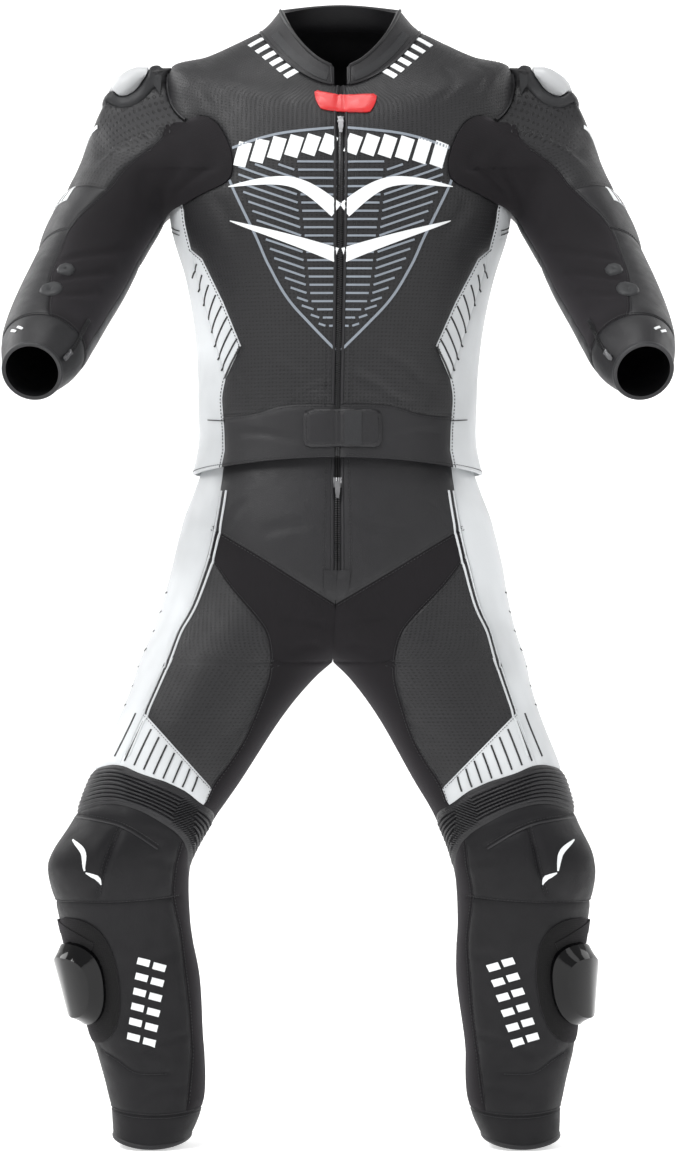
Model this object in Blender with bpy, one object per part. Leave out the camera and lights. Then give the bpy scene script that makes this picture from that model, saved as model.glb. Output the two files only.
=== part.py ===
"""A two-piece motorcycle race suit in leather and stretch cloth, hollow, in the pose of its wearer.

Three thin tubes carry every panel: the jacket's body with its collar, a sleeve, and one half of the
trousers with its leg. Each tube is a smooth surface through a short table of sections, laid out flat as
(around, along) in metres. The seams are curves on that flat layout. One constrained triangulation cuts
the layout along all of them, so panels that share a seam share its points, and each panel is then given
its thickness. The left sleeve and leg mirror the right ones.

Metres, +Z up, the chest faces -Y, and the wearer's left is +X. The tables count heights from the ankle
hem. The origin of the part is at the neck, MOUNT_HEIGHT above that hem.
"""

import math

import bmesh
import bpy
import numpy as np
from mathutils.geometry import delaunay_2d_cdt

MOUNT_HEIGHT = 1.300
WALL = 0.0022
GAP = 0.0003
CELL = 0.038
# Seams are laid out as an eye standing here sees them on the worn suit.
EYE_DISTANCE = 5.0
EYE_HEIGHT = 0.687
# The superellipse exponent of every section: 2 is an ellipse, and more is squarer.
SQUARENESS = 2.25
SIDE = math.pi / 2


def table(columns, *rows):
    """A table as {column: values}, one value a row."""
    return dict(zip(columns.split(), np.array(rows, float).T))


BODY = table(
    "front_z side_z back_z half_width front_y side_y back_y",
    (0.828, 0.810, 0.802, 0.173, -0.118, 0.000, 0.108),  # hem
    (0.858, 0.848, 0.844, 0.1655, -0.115, 0.000, 0.103),
    (0.893, 0.890, 0.890, 0.1660, -0.113, 0.000, 0.101),  # waist
    (0.940, 0.938, 0.938, 0.1675, -0.115, 0.000, 0.103),
    (0.990, 0.990, 0.990, 0.1730, -0.121, 0.000, 0.109),
    (1.045, 1.045, 1.045, 0.1840, -0.128, 0.000, 0.118),
    (1.100, 1.098, 1.100, 0.2000, -0.132, 0.000, 0.125),  # chest
    (1.148, 1.152, 1.155, 0.2080, -0.130, 0.000, 0.130),
    (1.188, 1.208, 1.212, 0.2080, -0.124, 0.002, 0.129),
    (1.220, 1.258, 1.262, 0.2080, -0.114, 0.006, 0.122),
    (1.240, 1.299, 1.301, 0.2030, -0.104, 0.010, 0.110),  # shoulder tip
    (1.252, 1.312, 1.322, 0.1600, -0.095, 0.012, 0.092),
    (1.261, 1.328, 1.340, 0.1240, -0.087, 0.012, 0.077),
    (1.268, 1.342, 1.352, 0.0960, -0.080, 0.012, 0.064),  # neck seam
    (1.275, 1.350, 1.360, 0.0840, -0.077, 0.012, 0.058),
    (1.292, 1.368, 1.380, 0.0690, -0.071, 0.011, 0.050),  # collar rim
)
NECK_ROW = 13

LEG = table(
    "front_z side_z back_z centre half_width front_y side_y back_y",
    (0.008, 0.018, 0.030, 0.2210, 0.0450, -0.056, -0.004, 0.048),  # ankle hem
    (0.044, 0.050, 0.054, 0.2150, 0.0535, -0.060, -0.004, 0.054),
    (0.080, 0.082, 0.082, 0.2155, 0.0588, -0.066, -0.006, 0.058),
    (0.135, 0.135, 0.135, 0.2220, 0.0650, -0.077, -0.012, 0.061),
    (0.210, 0.210, 0.210, 0.2270, 0.0730, -0.094, -0.024, 0.058),
    (0.281, 0.281, 0.281, 0.2365, 0.0765, -0.118, -0.042, 0.044),
    (0.345, 0.345, 0.345, 0.2385, 0.0825, -0.142, -0.060, 0.024),  # knee
    (0.400, 0.400, 0.400, 0.2150, 0.0830, -0.140, -0.056, 0.032),
    (0.449, 0.449, 0.449, 0.1912, 0.0900, -0.135, -0.046, 0.046),
    (0.516, 0.516, 0.516, 0.1563, 0.0957, -0.130, -0.030, 0.070),
    (0.558, 0.558, 0.558, 0.1330, 0.1040, -0.127, -0.020, 0.086),
    (0.586, 0.586, 0.586, 0.1150, 0.1150, -0.125, -0.013, 0.098),  # crotch
    (0.625, 0.625, 0.625, 0.0800, 0.1355, -0.123, -0.006, 0.112),
    (0.665, 0.665, 0.665, 0.0420, 0.1626, -0.122, 0.000, 0.118),
    (0.705, 0.705, 0.705, 0.0120, 0.1840, -0.122, 0.000, 0.118),
    (0.745, 0.745, 0.745, 0.0000, 0.1860, -0.120, 0.000, 0.114),
    (0.788, 0.788, 0.788, 0.0000, 0.1710, -0.113, 0.000, 0.104),
    (0.820, 0.820, 0.820, 0.0000, 0.1600, -0.106, 0.000, 0.096),
    (0.846, 0.846, 0.846, 0.0000, 0.1560, -0.103, 0.000, 0.093),  # top, inside the jacket
)
CROTCH_ROW = 11

# The sleeve below the armhole: each ring's middle, and its half sizes across the arm and front to back.
ARM = table(
    "x y z across deep",
    (0.270, -0.014, 1.128, 0.0600, 0.0680),
    (0.290, -0.034, 1.088, 0.0590, 0.0660),
    (0.306, -0.068, 1.046, 0.0575, 0.0620),  # elbow
    (0.321, -0.118, 1.008, 0.0555, 0.0570),
    (0.332, -0.172, 0.974, 0.0530, 0.0500),
    (0.339, -0.222, 0.946, 0.0480, 0.0450),
    (0.348, -0.262, 0.921, 0.0330, 0.0350),  # cuff opening
)
SLEEVE_HEAD = 0.110
# The sleeve leaves the shoulder tip this way, and this much more strongly than elsewhere.
SHOULDER_AIM = np.array([1.0, 0.0, -0.02])
SHOULDER_BULGE = 0.5

# The armhole on the body, by its angle: 90 is the shoulder tip, 0 the front, -90 the armpit.
ARMHOLE = table(
    "angle x z behind",
    (90, 0.206, 1.300, 0),
    (70, 0.208, 1.272, 0),
    (45, 0.187, 1.2336, 0),
    (36, 0.1700, 1.2410, 0),
    (26, 0.1510, 1.2340, 0),
    (14, 0.1360, 1.2096, 0),
    (2, 0.1300, 1.1820, 0),
    (-15, 0.1370, 1.1628, 0),
    (-40, 0.1650, 1.1484, 0),
    (-65, 0.1880, 1.1364, 0),
    (-90, 0.230, 1.1240, 0),
    (-130, 0.184, 1.1360, 1),
    (-180, 0.168, 1.1900, 1),
    (-230, 0.184, 1.2520, 1),
)

# How far the worn suit leans to its own right, by height.
SWAY = table(
    "z shift",
    (0.00, -0.002),
    (0.12, -0.004),
    (0.25, -0.016),
    (0.35, -0.020),
    (0.42, -0.014),
    (0.54, -0.009),
    (0.70, -0.001),
    (0.90, -0.001),
    (1.05, 0.002),
    (1.20, 0.003),
    (1.40, 0.002),
)

# Seams of the jacket's right-hand side, (x, z) as the eye sees them.
ZIP_HALF = 0.0030
COLLAR_GAP = 0.0085
WEDGE_INNER = ((0.1800, 1.0800), (0.1668, 1.0692), (0.1404, 1.0176), (0.1176, 0.9648), (0.1356, 0.9252))
FRONT_EDGE_TOP = ((0.1896, 1.1300), (0.1872, 1.1100), (0.1800, 1.0800))
FRONT_EDGE_FOOT = ((0.1356, 0.9252), (0.1392, 0.9020), (0.1368, 0.8660), (0.1360, 0.8400))
WEDGE_OUTER = ((0.1800, 1.0800), (0.1716, 1.0440), (0.1536, 0.9840), (0.1356, 0.9252))
BAND_TOP = ((0.0000, 0.8952), (0.0600, 0.8940), (0.1020, 0.8832), (0.1380, 0.8796))

# Seams of the right-hand leg and hip.
FLY_HALF = 0.0030
FLY_FOOT_Z = 0.690
STRETCH_TOP = ((0.1530, 0.7476), (0.1008, 0.7164), (0.0540, 0.6876), (0.0000, 0.6546))
SIDE_FRONT = (
    (0.1368, 0.8300), (0.1400, 0.8000), (0.1488, 0.7488), (0.1572, 0.7116), (0.1740, 0.6564),
    (0.1896, 0.6240), (0.2016, 0.5892), (0.2208, 0.5388), (0.2508, 0.4640),
)
THIGH_INNER = (
    (0.1560, 0.7150), (0.1296, 0.6780), (0.0972, 0.6420), (0.0816, 0.6204), (0.0750, 0.5940),
    (0.0756, 0.5640), (0.0864, 0.5280), (0.0996, 0.4938), (0.1152, 0.4668), (0.1344, 0.4392),
    (0.1440, 0.4160),
)
STRIPE_TOP = ((0.2270, 0.5280), (0.1368, 0.4330))
ACCORDION_TOP = ((0.1250, 0.3960), (0.1458, 0.4130), (0.1740, 0.4326), (0.2232, 0.4512), (0.2508, 0.4620),
                 (0.2740, 0.4600))
ACCORDION_FOOT = ((0.1520, 0.3560), (0.1668, 0.3696), (0.1980, 0.3936), (0.2340, 0.4104), (0.2664, 0.4152),
                  (0.2980, 0.4060))
KNEE_FOOT = ((0.1700, 0.3040), (0.2076, 0.2988), (0.2508, 0.2958), (0.3100, 0.2964))
SHIN_INNER = (
    (0.1690, 0.3710), (0.1750, 0.3380), (0.1788, 0.3036), (0.1716, 0.2580), (0.1698, 0.2100),
    (0.1692, 0.1620), (0.1716, 0.1080), (0.1776, 0.0540),
)
LEG_BACK_EDGE = math.radians(128)

# Seams of the right-hand sleeve.
SLEEVE_FRONT = (
    (0.2172, 1.2132), (0.2424, 1.1928), (0.2700, 1.1652), (0.2952, 1.1388), (0.3192, 1.1148),
    (0.3310, 1.0960), (0.3400, 1.0720), (0.3480, 1.0464),
    (0.3480, 1.0224), (0.3456, 0.9936), (0.3420, 0.9600),
)


def along(rows, column, place):
    """One column of a table at a place counted in rows, as a smooth curve through the rows."""
    values = rows[column]
    last = len(values) - 1
    place = np.clip(place, 0, last)
    row = np.minimum(place.astype(int), last - 1)
    t = place - row
    before, start = values[np.maximum(row - 1, 0)], values[row]
    end, after = values[row + 1], values[np.minimum(row + 2, last)]
    slope_in, slope_out = (end - before) / 2, (after - start) / 2
    return (
        start
        + slope_in * t
        + (3 * (end - start) - 2 * slope_in - slope_out) * t**2
        + (2 * (start - end) + slope_in + slope_out) * t**3
    )


def row_lengths(*columns):
    """Each row's distance along the line through the rows."""
    steps = np.sqrt(sum(np.diff(column) ** 2 for column in columns))
    return np.concatenate([[0], np.cumsum(steps)])


def section(rows, place, angle, centre, half_width):
    """Points of the level sections: angle 0 is the front, a quarter turn the side, a half turn the back."""
    sine, cosine = np.sin(angle), np.cos(angle)
    reach = (np.abs(sine) ** SQUARENESS + np.abs(cosine) ** SQUARENESS) ** (-1 / SQUARENESS)
    ahead = cosine > 0
    side_y, side_z = along(rows, "side_y", place), along(rows, "side_z", place)
    end_y = np.where(ahead, along(rows, "front_y", place), along(rows, "back_y", place))
    end_z = np.where(ahead, along(rows, "front_z", place), along(rows, "back_z", place))
    return np.stack(
        [
            centre + half_width * reach * sine,
            side_y + (end_y - side_y) * reach * np.abs(cosine),
            side_z + (end_z - side_z) * cosine**2,
        ],
        axis=1,
    )


def unit(vectors):
    return vectors / np.maximum(np.linalg.norm(vectors, axis=1, keepdims=True), 1e-12)


class Tube:
    """A surface laid out flat: low and high are the corners of its layout, and facing is 1 or -1."""

    def __init__(self, point, low, high, facing=1):
        self.point = point
        self.low, self.high, self.facing = np.array(low), np.array(high), facing

    def normal(self, flat):
        step = 1e-4
        low, high = self.low + step / 10, self.high - step / 10
        across, up = (
            self.point(np.clip(flat + move, low, high)) - self.point(np.clip(flat - move, low, high))
            for move in ((step, 0), (0, step))
        )
        return self.facing * unit(np.cross(across, up))

    def seen(self, x, z, behind=False):
        """The flat place whose point the eye sees at (x, z), on the near side or, behind, on the far side."""
        centre, size = (self.low + self.high) / 2, self.high - self.low
        steps = 161
        for _ in range(9):
            grid = np.stack(np.meshgrid(*[np.linspace(-0.5, 0.5, steps)] * 2), axis=-1).reshape(-1, 2)
            flat = np.clip(centre + grid * size, self.low, self.high)
            points, normals = self.point(flat), self.normal(flat)
            scale = EYE_DISTANCE / (EYE_DISTANCE + points[:, 1])
            miss = np.hypot(
                points[:, 0] * scale - x,
                EYE_HEIGHT + (points[:, 2] - EYE_HEIGHT) * scale - z,
            )
            turned_away = (normals[:, 1] > 0.02) != behind
            score = miss + 10 * turned_away
            if steps > 9:
                near = score < score.min() + 0.004
                score = np.where(near, points[:, 1] * (-1 if behind else 1), 100 + score)
            centre = flat[np.argmin(score)]
            size = size * (0.03 if steps > 9 else 0.4)
            steps = 9
        return centre

    def curve(self, points, straight=False, behind=False):
        """A smooth line on the layout through points given as the eye sees them."""
        return smooth_line([self.seen(x, z, behind) for x, z in points], straight)


def smooth_line(corners, straight=False):
    """The corners joined by straight lines or by one smooth curve, with a point about every CELL."""
    rows = dict(enumerate(np.array(corners).T))
    lengths = np.linalg.norm(np.diff(np.array(corners), axis=0), axis=1)
    places = [0.0]
    for row, length in enumerate(lengths):
        count = max(1, round(length / CELL))
        places += [row + (i + 1) / count for i in range(count)]
    if straight:
        knots = np.arange(len(corners))
        return np.stack([np.interp(places, knots, rows[0]), np.interp(places, knots, rows[1])], axis=1)
    places = np.array(places)
    return np.stack([along(rows, 0, places), along(rows, 1, places)], axis=1)


def nearest_on(line, target):
    """The place on a line nearest to a target."""
    start, step = line[:-1], np.diff(line, axis=0)
    share = np.clip(((target - start) * step).sum(1) / np.maximum((step**2).sum(1), 1e-12), 0, 1)
    found = start + step * share[:, None]
    return found[np.argmin(np.linalg.norm(found - target, axis=1))]


def joined(line, start_on=None, end_on=None):
    """The line with its ends moved onto other lines, so that the seams meet."""
    line = line.copy()
    if start_on is not None:
        line[0] = nearest_on(start_on, line[0])
    if end_on is not None:
        line[-1] = nearest_on(end_on, line[-1])
    return line


def to_corner(line, target):
    """The corner of a line nearest to a target."""
    return line[np.argmin(np.linalg.norm(line - target, axis=1))]


def mirrored(line):
    return line * (-1, 1)


class Layout:
    """A tube's layout cut along its seams, and along the outlines of what lies on it, into triangles."""

    def __init__(self, tube, edges_only, seams, outlines=(), wraps=None, normals=None):
        self.tube = tube
        lines = [(line, -1) for line in edges_only] + [(line, 0) for line in seams]
        lines += [(line, number + 1) for number, line in enumerate(outlines)]
        points, edges, kinds = [], [], []
        for line, kind in lines:
            first = len(points)
            points += list(line)
            edges += [(first + i, first + i + 1) for i in range(len(line) - 1)]
            kinds += [kind] * (len(line) - 1)
        points += list(self.filling([line for line, _ in lines]))
        points = np.clip(points, tube.low, tube.high)
        flat, _, faces, _, _, _ = delaunay_2d_cdt([tuple(p) for p in points], edges, [], 0, 1e-5)
        self.flat = np.array([tuple(p) for p in flat])
        self.faces = np.array([face for face in faces if not self.on_one_edge(face)])
        self.borders = [set() for _ in range(len(outlines) + 1)]
        self.mark_borders(points, edges, kinds)
        self.xyz, self.normals = tube.point(self.flat), tube.normal(self.flat)
        if wraps is not None:
            self.wrap(wraps)
        if normals is not None:
            self.normals = normals(self)

    def on_one_edge(self, face):
        """Whether a triangle is a sliver along the layout's own edge."""
        corners = self.flat[list(face)]
        low, high = np.abs(corners - self.tube.low) < 1e-6, np.abs(corners - self.tube.high) < 1e-6
        return bool((low.all(0) | high.all(0)).any())

    def filling(self, lines):
        """A triangular grid of points, clear of the lines."""
        low, high = self.tube.low, self.tube.high
        points = []
        for j in range(1, int((high[1] - low[1]) / (0.87 * CELL)) + 1):
            for i in range(int((high[0] - low[0]) / CELL) + 1):
                points.append((low[0] + (i + 0.5 * (j % 2)) * CELL, low[1] + j * 0.87 * CELL))
        points = np.array(points)
        clear = np.all((points > low + 0.4 * CELL) & (points < high - 0.4 * CELL), axis=1)
        for line in lines:
            start, step = line[:-1], np.diff(line, axis=0)
            offset = points[:, None] - start
            share = np.clip((offset * step).sum(2) / np.maximum((step**2).sum(1), 1e-12), 0, 1)
            clear &= np.linalg.norm(offset - step * share[..., None], axis=2).min(1) > 0.55 * CELL
        return points[clear]

    def mark_borders(self, points, edges, kinds):
        """Finds which sides of the triangles lie on which lines."""
        start = np.array([points[a] for a, _ in edges])
        step = np.array([points[b] for _, b in edges]) - start
        kinds = np.array(kinds)
        sides = {tuple(sorted((f[i], f[i - 1]))) for f in self.faces.tolist() for i in range(3)}
        for side in sides:
            on_line = np.ones(len(edges), bool)
            for corner in side:
                offset = self.flat[corner] - start
                share = np.clip((offset * step).sum(1) / np.maximum((step**2).sum(1), 1e-12), 0, 1)
                on_line &= np.linalg.norm(offset - step * share[:, None], axis=1) < 3e-5
            for kind in set(kinds[on_line]) - {-1}:
                self.borders[kind].add(side)

    def wrap(self, closed):
        """Makes one point of each pair where the tube closes on itself."""
        left = np.flatnonzero(np.abs(self.flat[:, 0] - self.tube.low[0]) < 1e-6)
        right = np.flatnonzero(np.abs(self.flat[:, 0] - self.tube.high[0]) < 1e-6)
        same = np.arange(len(self.flat))
        for a in left:
            b = right[np.argmin(np.abs(self.flat[right, 1] - self.flat[a, 1]))]
            if closed(self.flat[a, 1]):
                same[b] = a
                self.normals[a] = unit((self.normals[a] + self.normals[b])[None])[0]
        self.faces = same[self.faces]
        for border in self.borders:
            moved = {tuple(sorted((same[a], same[b]))) for a, b in border}
            border.clear()
            border.update(moved)

    def region(self, place, kind=0):
        """The triangles around a place, as far as the lines of this kind."""
        corners = self.flat[self.faces]
        middle = np.argmin(np.linalg.norm(corners.mean(1) - place, axis=1))
        beside = {}
        for number, face in enumerate(self.faces.tolist()):
            for i in range(3):
                beside.setdefault(tuple(sorted((face[i], face[i - 1]))), []).append(number)
        found, waiting = {middle}, [middle]
        while waiting:
            face = self.faces[waiting.pop()].tolist()
            for i in range(3):
                side = tuple(sorted((face[i], face[i - 1])))
                if side in self.borders[kind]:
                    continue
                fresh = [n for n in beside[side] if n not in found]
                found.update(fresh)
                waiting += fresh
        return self.faces[sorted(found)]


def rim_of(faces):
    """The outer sides of a patch, as {point: next point}, going round with the patch on the left."""
    directed = {(face[i], face[(i + 1) % 3]) for face in faces.tolist() for i in range(3)}
    return {a: b for a, b in directed if (b, a) not in directed}


def sheet(layout, faces, top=0.0, bottom=-WALL, dome=None):
    """A closed sheet over a patch: its two skins are the patch's points moved out by top and bottom."""
    after = rim_of(faces)
    before = {b: a for a, b in after.items()}
    points, normals = layout.xyz.copy(), layout.normals
    for here in after:
        inward = np.zeros(3)
        for a, b in ((before[here], here), (here, after[here])):
            edge = layout.xyz[b] - layout.xyz[a]
            inward += unit(np.cross(normals[here], edge)[None])[0] * layout.tube.facing
        points[here] += inward * GAP / max(float(inward @ inward), 1.0)
    used = np.unique(faces)
    place = {old: new for new, old in enumerate(used)}
    height = np.full(len(used), top) if dome is None else np.array([dome(old, top) for old in used])
    outer = points[used] + normals[used] * height[:, None]
    inner = points[used] + normals[used] * bottom
    flipped = [[place[i] for i in face][:: layout.tube.facing] for face in faces.tolist()]
    under = [[i + len(used) for i in face[::-1]] for face in flipped]
    walls = []
    for a, b in after.items():
        over_a, over_b, under_a, under_b = place[a], place[b], place[a] + len(used), place[b] + len(used)
        # Both sheets at a seam split its wall along the same diagonal, from the lower corner.
        if tuple(layout.xyz[a, ::-1].round(6)) < tuple(layout.xyz[b, ::-1].round(6)):
            split = [[over_b, over_a, under_b], [over_a, under_a, under_b]]
        else:
            split = [[over_b, over_a, under_a], [over_b, under_a, under_b]]
        walls += [wall[:: layout.tube.facing] for wall in split]
    return np.concatenate([outer, inner]), flipped + under + walls


def sway(points):
    """Points in the part's own frame: leaned, and measured from the neck."""
    shift = np.interp(points[:, 2], SWAY["z"], SWAY["shift"])
    return points + np.stack([shift, 0 * shift, 0 * shift - MOUNT_HEIGHT], axis=1)


# ---- the jacket's body ----

BODY_ROUND = 0.17
BODY_LENGTHS = row_lengths(BODY["side_z"], BODY["half_width"])


def body_point(flat):
    place = np.interp(flat[:, 1], BODY_LENGTHS, np.arange(len(BODY_LENGTHS)))
    return section(BODY, place, flat[:, 0] / BODY_ROUND, 0.0, along(BODY, "half_width", place))


body = Tube(body_point, (-math.pi * BODY_ROUND, 0.0), (math.pi * BODY_ROUND, BODY_LENGTHS[-1]))
NECK = BODY_LENGTHS[NECK_ROW]


def armhole_line():
    """The armhole's corners on the body's layout, closed by repeating rows at both ends of its turn."""
    rows = sorted(
        (((angle + 180) % 360) - 180, *body.seen(x, z, bool(behind)))
        for angle, x, z, behind in zip(*ARMHOLE.values())
    )
    before = [(angle - 360, u, v) for angle, u, v in rows[-3:]]
    after = [(angle + 360, u, v) for angle, u, v in rows[:3]]
    return table("angle u v", *before, *rows, *after)


ARMHOLE_FLAT = armhole_line()
ARMHOLE_TURNS = np.radians(np.arange(-180, 181, 15))


def armhole(turn):
    """The armhole's places on the body's layout."""
    place = np.interp(np.degrees(turn), ARMHOLE_FLAT["angle"], np.arange(len(ARMHOLE_FLAT["angle"])))
    return np.stack([along(ARMHOLE_FLAT, "u", place), along(ARMHOLE_FLAT, "v", place)], axis=1)


# ---- the sleeve ----

SLEEVE_ROUND = 0.40 / (2 * math.pi)
ARM_LENGTHS = row_lengths(ARM["x"], ARM["y"], ARM["z"])
SLEEVE_END = SLEEVE_HEAD + ARM_LENGTHS[-1]


def arm_ring(place, turn):
    """Points of the arm's rings, and the way the arm runs there."""
    middle = np.stack([along(ARM, axis, place) for axis in "xyz"], axis=1)
    low, high = np.clip(place - 0.3, 0, None), np.clip(place + 0.3, None, len(ARM_LENGTHS) - 1)
    runs = unit(np.stack([along(ARM, axis, high) - along(ARM, axis, low) for axis in "xyz"], axis=1))
    ahead = np.array([0.0, -1.0, 0.0])
    front = unit(ahead - runs * (runs @ ahead)[:, None])
    outward = np.cross(front, runs)
    ring = (
        middle
        + outward * (along(ARM, "across", place) * np.sin(turn))[:, None]
        + front * (along(ARM, "deep", place) * np.cos(turn))[:, None]
    )
    return ring, runs


def sleeve_head(turn, share):
    """The sleeve between the armhole and the first ring, leaving the body smoothly where it can."""
    flat = armhole(turn)
    start, facing = body.point(flat), body.normal(flat)
    step = body.point(armhole(turn + 0.02)) - body.point(armhole(turn - 0.02))
    into = unit(np.cross(step, facing))
    end, runs = arm_ring(np.zeros(len(turn)), turn)
    reach = np.linalg.norm(end - start, axis=1, keepdims=True)
    straight = (end - start) / reach
    keen = np.maximum((into * straight).sum(1, keepdims=True), 0)
    high = np.maximum(np.sin(turn), 0)[:, None] ** 1.5
    leave = unit((into * keen * 1.3 + straight * 0.35) * (1 - high) + SHOULDER_AIM * high)
    leave *= reach * (1 + SHOULDER_BULGE * high)
    arrive = runs * reach * (1 + 0.4 * SHOULDER_BULGE * high)
    t = share[:, None]
    return (
        start * (1 - 3 * t**2 + 2 * t**3)
        + leave * (t - 2 * t**2 + t**3)
        + end * (3 * t**2 - 2 * t**3)
        + arrive * (t**3 - t**2)
    )


def sleeve_point(flat):
    turn, share = flat[:, 0] / SLEEVE_ROUND, flat[:, 1] / SLEEVE_HEAD
    place = np.interp(flat[:, 1] - SLEEVE_HEAD, ARM_LENGTHS, np.arange(len(ARM_LENGTHS)))
    head = (share < 1)[:, None]
    return np.where(head, sleeve_head(turn, np.clip(share, 0, 1)), arm_ring(place, turn)[0])


sleeve = Tube(sleeve_point, (-math.pi * SLEEVE_ROUND, 0.0), (math.pi * SLEEVE_ROUND, SLEEVE_END), facing=-1)


def seam_normals(turn):
    """The way both the body and the sleeve face at the armhole."""
    on_sleeve = np.stack([turn * SLEEVE_ROUND, 0 * turn], axis=1)
    return unit(body.normal(armhole(turn)) + sleeve.normal(on_sleeve))


# ---- one half of the trousers ----

LEG_ROUND = 0.50
LEG_LENGTHS = row_lengths(LEG["side_z"], LEG["centre"], LEG["side_y"])


def leg_turn(place):
    """How far past the front the half starts: a quarter turn on a leg, and nothing at the hip."""
    share = np.clip(along(LEG, "centre", place) / along(LEG, "half_width", place), 0, 1)
    return np.arctan2(share, (1 - share**SQUARENESS) ** (1 / SQUARENESS))


def leg_point(flat):
    place = np.interp(flat[:, 1], LEG_LENGTHS, np.arange(len(LEG_LENGTHS)))
    turn = leg_turn(place)
    angle = -turn + (math.pi + 2 * turn) * flat[:, 0] / LEG_ROUND
    centre = np.maximum(along(LEG, "centre", place), 0)
    return section(LEG, place, angle, centre, along(LEG, "half_width", place)) + (GAP / 2, 0, 0)


leg = Tube(leg_point, (0.0, 0.0), (LEG_ROUND, LEG_LENGTHS[-1]))


def leg_flat(angle, along_leg):
    """The flat places at an angle round the leg, 0 ahead and a half turn behind."""
    place = np.interp(along_leg, LEG_LENGTHS, np.arange(len(LEG_LENGTHS)))
    turn = leg_turn(place)
    return np.stack([(angle + turn) / (math.pi + 2 * turn) * LEG_ROUND, along_leg], axis=1)


# ---- making the nodes ----

LEATHER = ((0.040, 0.041, 0.043), 0.55, 0.0)
WHITE_LEATHER = ((0.82, 0.84, 0.85), 0.45, 0.0)
STRETCH = ((0.016, 0.014, 0.017), 0.9, 0.0)
RUBBER = ((0.02, 0.02, 0.021), 0.7, 0.0)
RED_RUBBER = ((0.62, 0.03, 0.03), 0.45, 0.0)
GLOSS_PLASTIC = ((0.008, 0.008, 0.009), 0.08, 0.0)
PALE_PLASTIC = ((0.52, 0.53, 0.54), 0.40, 0.0)
METAL = ((0.55, 0.55, 0.56), 0.3, 1.0)


def clear_scene():
    for item in list(bpy.data.objects):
        bpy.data.objects.remove(item, do_unlink=True)


def new_collection(name):
    collection = bpy.data.collections.new(name)
    bpy.context.scene.collection.children.link(collection)
    return collection


def material(name, look):
    color, roughness, metallic = look
    made = bpy.data.materials.new(name)
    made.use_nodes = True
    shader = made.node_tree.nodes["Principled BSDF"]
    shader.inputs["Base Color"].default_value = (*color, 1)
    shader.inputs["Roughness"].default_value = roughness
    shader.inputs["Metallic"].default_value = metallic
    return made


def add_node(name, points, faces, look):
    """One named piece, from points already in the part's own frame."""
    mesh = bpy.data.meshes.new(name)
    mesh.from_pydata([tuple(p) for p in points], [], [tuple(int(i) for i in f) for f in faces])
    mesh.materials.append(material(name, look))
    mesh.shade_smooth()
    mesh.set_sharp_from_angle(angle=math.radians(40))
    made = bpy.data.objects.new(name, mesh)
    SUIT.objects.link(made)
    return made


def add_sheet(name, made_sheet, look, side=1):
    """A sheet as a node; side -1 mirrors it to the wearer's right."""
    points, faces = made_sheet
    points = points * (side, 1, 1)
    return add_node(name, sway(points), [face[::side] for face in faces], look)


def across_middle(half):
    """A half sheet joined to its mirror image along the middle plane, where it is left open."""
    points, faces = half
    points = points.copy()
    middle = np.abs(points[:, 0]) < 2 * GAP
    points[middle, 0] = 0
    faces = [face for face in faces if not all(middle[i] for i in face)]
    twin = np.arange(len(points)) + len(points)
    twin[middle] = np.flatnonzero(middle)
    return (
        np.concatenate([points, points * (-1, 1, 1)]),
        faces + [[int(twin[i]) for i in face[::-1]] for face in faces],
    )


def without_loose(points, faces):
    """The same sheet with only the points that its faces use."""
    used = sorted({i for face in faces for i in face})
    place = {old: new for new, old in enumerate(used)}
    return points[used], [[place[i] for i in face] for face in faces]


def rounded(corners, radius):
    """A closed outline whose corners are cut by three points of an arc."""
    corners = np.array(corners)
    outline = []
    for before, corner, after in zip(np.roll(corners, 1, 0), corners, np.roll(corners, -1, 0)):
        arms = [corner + (end - corner) / np.linalg.norm(end - corner) * radius for end in (before, after)]
        outline += [arms[0], 0.5 * corner + 0.25 * (arms[0] + arms[1]), arms[1]]
    return outline + [outline[0]]


def closed_curve(tube, corners, radius):
    """A rounded outline on a tube's layout, its corners given as the eye sees them."""
    return smooth_line([tube.seen(x, z) for x, z in rounded(corners, radius)], straight=True)


def oval(centre, half_across, half_along, count=12, squareness=2.6, lean=0.0):
    """A closed rounded outline round a flat place."""
    turn = np.linspace(0, 2 * math.pi, count + 1)
    reach = (np.abs(np.sin(turn)) ** squareness + np.abs(np.cos(turn)) ** squareness) ** (-1 / squareness)
    across, up = half_across * reach * np.sin(turn), half_along * reach * np.cos(turn)
    return np.stack([centre[0] + across + lean * up, centre[1] + up], axis=1)


# ---- zips ----

PULL_LENGTH, PULL_WIDTH, PULL_THICK, PULL_BEVEL = 0.020, 0.006, 0.0012, 0.0003
# How far a pull's plate reaches past its hinge: less than its clearance over the slider, so that it can turn.
PULL_TAIL = 0.0004


def zip_slider(tube, height):
    """The depths on a layout between which a zip's slider sits, its middle at a seen height."""
    middle = tube.seen(0.0, height)[1]
    return middle - SLIDER_HALF, middle + SLIDER_HALF


def rungs(slider, start, end):
    """The lines across a zip at the foot and the top of its slider's two ends."""
    low, high = slider
    depths = (low, low + SLIDER_SLOPE, high - SLIDER_SLOPE, high)
    return [np.array([(start, depth), (end, depth)]) for depth in depths]


def slider_height(layout, slider):
    """The height of each point of a zip: the chain's, and the slider's where that sits."""
    low, high = slider[0] + SLIDER_SLOPE / 2, slider[1] - SLIDER_SLOPE / 2
    return lambda point, height: SLIDER_THICK if low < layout.flat[point, 1] < high else height


def add_zip(name, layout, patch, slider):
    add_sheet(name, sheet(layout, patch, ZIP_LIFT, dome=slider_height(layout, slider)), METAL)


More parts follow.
